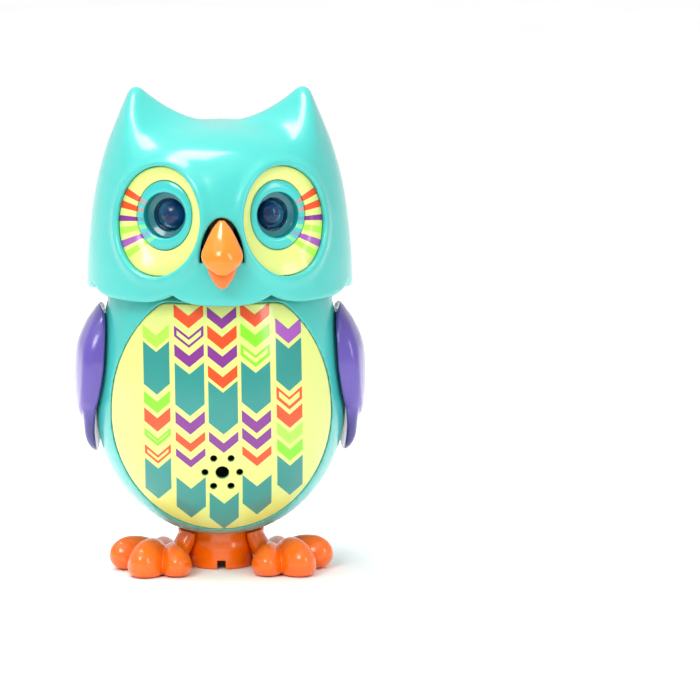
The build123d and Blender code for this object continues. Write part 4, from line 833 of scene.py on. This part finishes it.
def turned(name, side, rows, finish, follow=()):
    """Rows of (half width, half height, depth) swept round the eye's axis. Rows in follow lie a little
    outwards and down from it and hug the head's skin."""
    centre, right, up, out = eye_frame(side)
    around = np.linspace(0, 2 * math.pi, 128, endpoint=False)
    points = []
    for index, (half_a, half_b, depth) in enumerate(rows):
        a, b = half_a * np.cos(around), half_b * np.sin(around)
        c = np.full(a.shape, -float(depth))
        if index in follow:
            a, b = a + side * DISH_OUT, b - DISH_DROP
            c = np.minimum(skin_depth(side, a, b) - float(depth), -1.9)
        points.append(centre + a[:, None] * right + b[:, None] * up + c[:, None] * out)
    n = len(around)
    count = len(rows)
    faces = []
    for row in range(count):
        this, after = row * n + np.arange(n), (row + 1) % count * n + np.arange(n)
        faces.append(np.stack((this, np.roll(this, -1), np.roll(after, -1), after), 1))
    return make_object(name, np.vstack(points), np.vstack(faces), finish)


def arc(radius, middle, start, end, steps=7):
    """(r, r, depth) rows along an arc about a point on the axis; angles from the front pole, in degrees."""
    turns = np.radians(np.linspace(start, end, steps))
    return [(radius * math.sin(t), radius * math.sin(t), middle - radius * math.cos(t)) for t in turns]


ring_finish = {}
for side, hand in ((1, "left"), (-1, "right")):
    dish = eye_print(side, f"eye_dish_print_{hand}", LIME, 1.0)
    ring = eye_print(side, f"eye_ring_print_painted_shade_{hand}", srgb(52, 190, 186), 0.45, -4.15)
    place_x, place_y, place_z = ring.axes()
    centre, right, up, out = eye_frame(side)
    depth = (place_x * float(out[0]) + place_y * float(out[1])
             + place_z * float(out[2])) - float(out @ centre)
    colour = ring.shader.inputs["Base Color"].links[0].from_socket
    # Painted shade: the ring's colour is multiplied darker the deeper it lies in the bore, from 4.15 mm down
    # to 7 mm along the eye's axis; the flat front is left as it is.
    shade = ring.ramp((depth + 7.0) * (1.0 / 3.0), ((0.0, (0.05, 0.30, 0.38)), (0.85, (0.12, 0.46, 0.50)),
                                                   (0.95, (1.0, 1.0, 1.0))))
    blend = ring.tree.nodes.new("ShaderNodeMix")
    blend.data_type, blend.blend_type = "RGBA", "MULTIPLY"
    blend.inputs[0].default_value = 1.0
    ring.tree.links.new(colour, blend.inputs[6])
    ring.tree.links.new(shade, blend.inputs[7])
    ring.set(Base_Color=blend.outputs[2], Roughness=0.12, IOR=1.49, Coat_Weight=0.4, Coat_Roughness=0.04)
    ring_finish[hand] = (dish, ring)

# The dome's deep blue is partly its own tinted plastic and partly painted shade: it is made dark so that it
# stands in for the dark hollow behind it.
dome_finish = Finish("eye_dome_blue_painted_dark")
dome_finish.set(Base_Color=dome_finish.ramp(dome_finish.noise(0.3, 2.0), (
    (0.3, srgb(8, 74, 124)), (0.7, srgb(0, 36, 80)))), Roughness=dome_finish.noise(0.5) * 0.03 + 0.02)
dome_finish.set(Transmission_Weight=0.3, IOR=1.42, Specular_IOR_Level=0.4)
led_finish = Finish("lamp_epoxy")
led_finish.set(Base_Color=led_finish.ramp(led_finish.noise(0.8),
                                          ((0.3, srgb(60, 190, 190)), (0.7, srgb(30, 120, 140)))),
               Roughness=0.1, Transmission_Weight=0.3, IOR=1.5)

for side, hand in ((1, "left"), (-1, "right")):
    dish, ring = ring_finish[hand]
    rows = ((9.38, 10.93, 1.9), (9.38, 10.93, 0.9), (9.2, 10.75, 0.75), (6.3, 7.3, 3.9), (6.1, 7.1, 4.05),
            (6.1, 7.1, 4.9), (5.4, 6.4, 4.9), (5.4, 6.4, 5.8), (6.7, 7.7, 5.8))
    piece = turned(f"eye_dish_printed_{hand}", side, rows, dish.material, follow=(0, 1, 2))
    place(piece, "head", "eye_dish", f"eye_dish_{hand}")
    rows = [(5.95, 6.95, 4.75), (5.95, 6.95, 4.1), (5.8, 6.8, 3.95), (5.0, 5.2, 3.95), (4.75, 4.78, 4.0),
            (4.6, 4.6, 4.2), (4.6, 4.6, 6.3), (4.45, 4.45, 6.42), (3.5, 3.5, 6.45), (3.35, 3.35, 6.6),
            (3.35, 3.35, 7.2), (5.2, 5.2, 7.2), (5.2, 5.2, 4.85)]
    piece = turned(f"eye_ring_clear_{hand}", side, rows, ring.material)
    place(piece, "head", "eye_ring", f"eye_ring_{hand}")
    front = arc(3.6, 9.1, 4, 64, 9)
    rows = [(0.02, 0.02, front[0][2] - 0.01)] + front + [
        (3.25, 3.25, 7.6), (3.25, 3.25, 7.24), (4.25, 4.25, 7.26), (4.25, 4.25, 8.0),
        (1.65, 1.65, 8.05), (1.65, 1.65, 6.9), (1.2, 1.2, 6.7), (0.02, 0.02, 6.65)]
    piece = turned(f"pupil_dome_{hand}", side, rows, dome_finish.material)
    place(piece, "head", "eye_dome", f"eye_dome_{hand}")

# ------------------------------------------------------------------ finishes for the CAD pieces that stay
steel = Finish("plated_steel")
steel.set(Base_Color=steel.ramp(steel.noise(0.8, 4.0), ((0.3, srgb(176, 178, 182)),
                                                        (0.7, srgb(206, 206, 208)))),
          Metallic=1.0, Roughness=steel.noise(2.0, 4.0, (1, 1, 6)) * 0.2 + 0.2)
steel.bump(steel.noise(3.0, 3.0, (1, 1, 8)), 0.1)
spring = Finish("spring_wire")
spring.set(Base_Color=spring.ramp(spring.noise(1.5), ((0.3, srgb(150, 150, 156)),
                                                      (0.7, srgb(188, 188, 194)))),
           Metallic=1.0, Roughness=0.25)
magnet = Finish("magnet_nickel")
magnet.set(Base_Color=magnet.ramp(magnet.noise(0.6), ((0.3, srgb(150, 150, 154)),
                                                      (0.7, srgb(178, 176, 172)))),
           Metallic=1.0, Roughness=magnet.noise(1.2) * 0.15 + 0.15)
copper = Finish("copper_winding")
turns = copper.axes()[2].op("MULTIPLY", 2 * math.pi / 0.25).op("SINE")
copper.set(Base_Color=copper.ramp(turns * 0.5 + 0.5, ((0.1, srgb(120, 52, 20)), (0.7, srgb(196, 110, 58)))),
           Metallic=0.9, Roughness=0.32)
copper.bump(turns, 0.6, 0.05)
brass = Finish("turned_brass")
brass.set(Base_Color=brass.ramp(brass.noise(1.0), ((0.3, srgb(190, 150, 80)), (0.7, srgb(216, 178, 104)))),
          Metallic=1.0, Roughness=0.28)
board = Finish("circuit_board")
x, y, z = board.axes()
tracks = ((x * 5.0).op("SINE") * (z * 3.7).op("SINE") + board.noise(0.5) * 1.6 > 1.15)
board.set(Base_Color=board.mix(tracks, srgb(22, 92, 48), srgb(46, 132, 74)),
          Roughness=board.noise(1.0) * 0.2 + 0.3)
board.bump(tracks, 0.3, 0.03)
acetal = moulded(Finish("natural_acetal"), srgb(232, 230, 220), gloss=0.35)
black = moulded(Finish("black_plastic"), srgb(30, 30, 33), tint=0.15, gloss=0.42, peel=0.3)
cone = Finish("paper_cone")
cone.set(Base_Color=cone.ramp(cone.noise(3.0), ((0.3, srgb(26, 26, 28)), (0.7, srgb(48, 46, 46)))),
         Roughness=0.8)
cone.bump(cone.noise(4.0), 0.4, 0.05)
lead = Finish("pvc_lead")
lead.set(Base_Color=lead.ramp(lead.noise(0.7), ((0.3, srgb(150, 30, 26)), (0.7, srgb(188, 44, 36)))),
         Roughness=lead.noise(1.0) * 0.2 + 0.35)

FINISHES = {
    "teal_shell": shell_finish, "orange_plastic": orange_finish, "steel": steel, "spring_steel": spring,
    "magnet": magnet, "copper": copper, "brass": brass, "board": board, "black_plastic": black,
    "white_gear": acetal, "grey_plastic": black, "cone": cone, "lead": lead, "led": led_finish,
    "violet_wing": violet_finish, "lime_panel": shell_finish, "eye_dish": shell_finish,
    "eye_ring": shell_finish, "eye_dome": dome_finish,
}
for entry in frame["record"]["subparts"]:
    node = frame["nodes"].get(entry["node"])
    if node is None:
        continue
    for holder in node.material_slots:
        holder.link = "OBJECT"
        holder.material = FINISHES[entry["material_slot"]].material

# ------------------------------------------------------------------ floor and light
paper = Finish("studio_paper")
paper.set(Base_Color=paper.ramp(paper.noise(0.02, 2.0), ((0.3, (0.95, 0.95, 0.95)),
                                                         (0.7, (0.98, 0.98, 0.98)))),
          Roughness=0.9, Specular_IOR_Level=0.0)
floor = make_object("floor",
                    np.array(((-6000, -3000, 0), (6000, -3000, 0), (6000, 9000, 0), (-6000, 9000, 0))),
                    np.array(((0, 1, 2, 3),)), paper.material)

world = bpy.data.worlds.new("studio")
bpy.context.scene.world = world
world.use_nodes = True
world.node_tree.nodes["Background"].inputs["Color"].default_value = (1.0, 1.0, 1.0, 1.0)
world.node_tree.nodes["Background"].inputs["Strength"].default_value = 0.74


def softbox(name, spot, width, height, power):
    """A rectangular area light at spot, in millimetres, aimed at the owl's middle."""
    data = bpy.data.lights.new(name, "AREA")
    data.shape = "RECTANGLE"
    data.size, data.size_y = width * MM, height * MM
    data.energy = power
    light = bpy.data.objects.new(name, data)
    bpy.context.scene.collection.objects.link(light)
    light.location = [c * MM for c in spot]
    aim = np.array((0.0, 0.0, 60.0)) - np.array(spot, float)
    flat = math.hypot(aim[0], aim[1])
    light.rotation_euler = (math.atan2(flat, -aim[2]), 0.0, math.atan2(aim[1], aim[0]) - math.pi / 2)


softbox("key", (-330, -620, 560), 330, 240, 2.6)
softbox("fill", (560, -520, 330), 160, 380, 1.0)
softbox("roof", (-110, 60, 620), 300, 240, 2.4)
sky = bpy.data.lights.new("overhead", "SUN")
sky.energy, sky.angle = 0.8, math.radians(70.0)
overhead = bpy.data.objects.new("overhead", sky)
overhead.rotation_euler = (math.radians(14.0), math.radians(-16.0), 0.0)
bpy.context.scene.collection.objects.link(overhead)
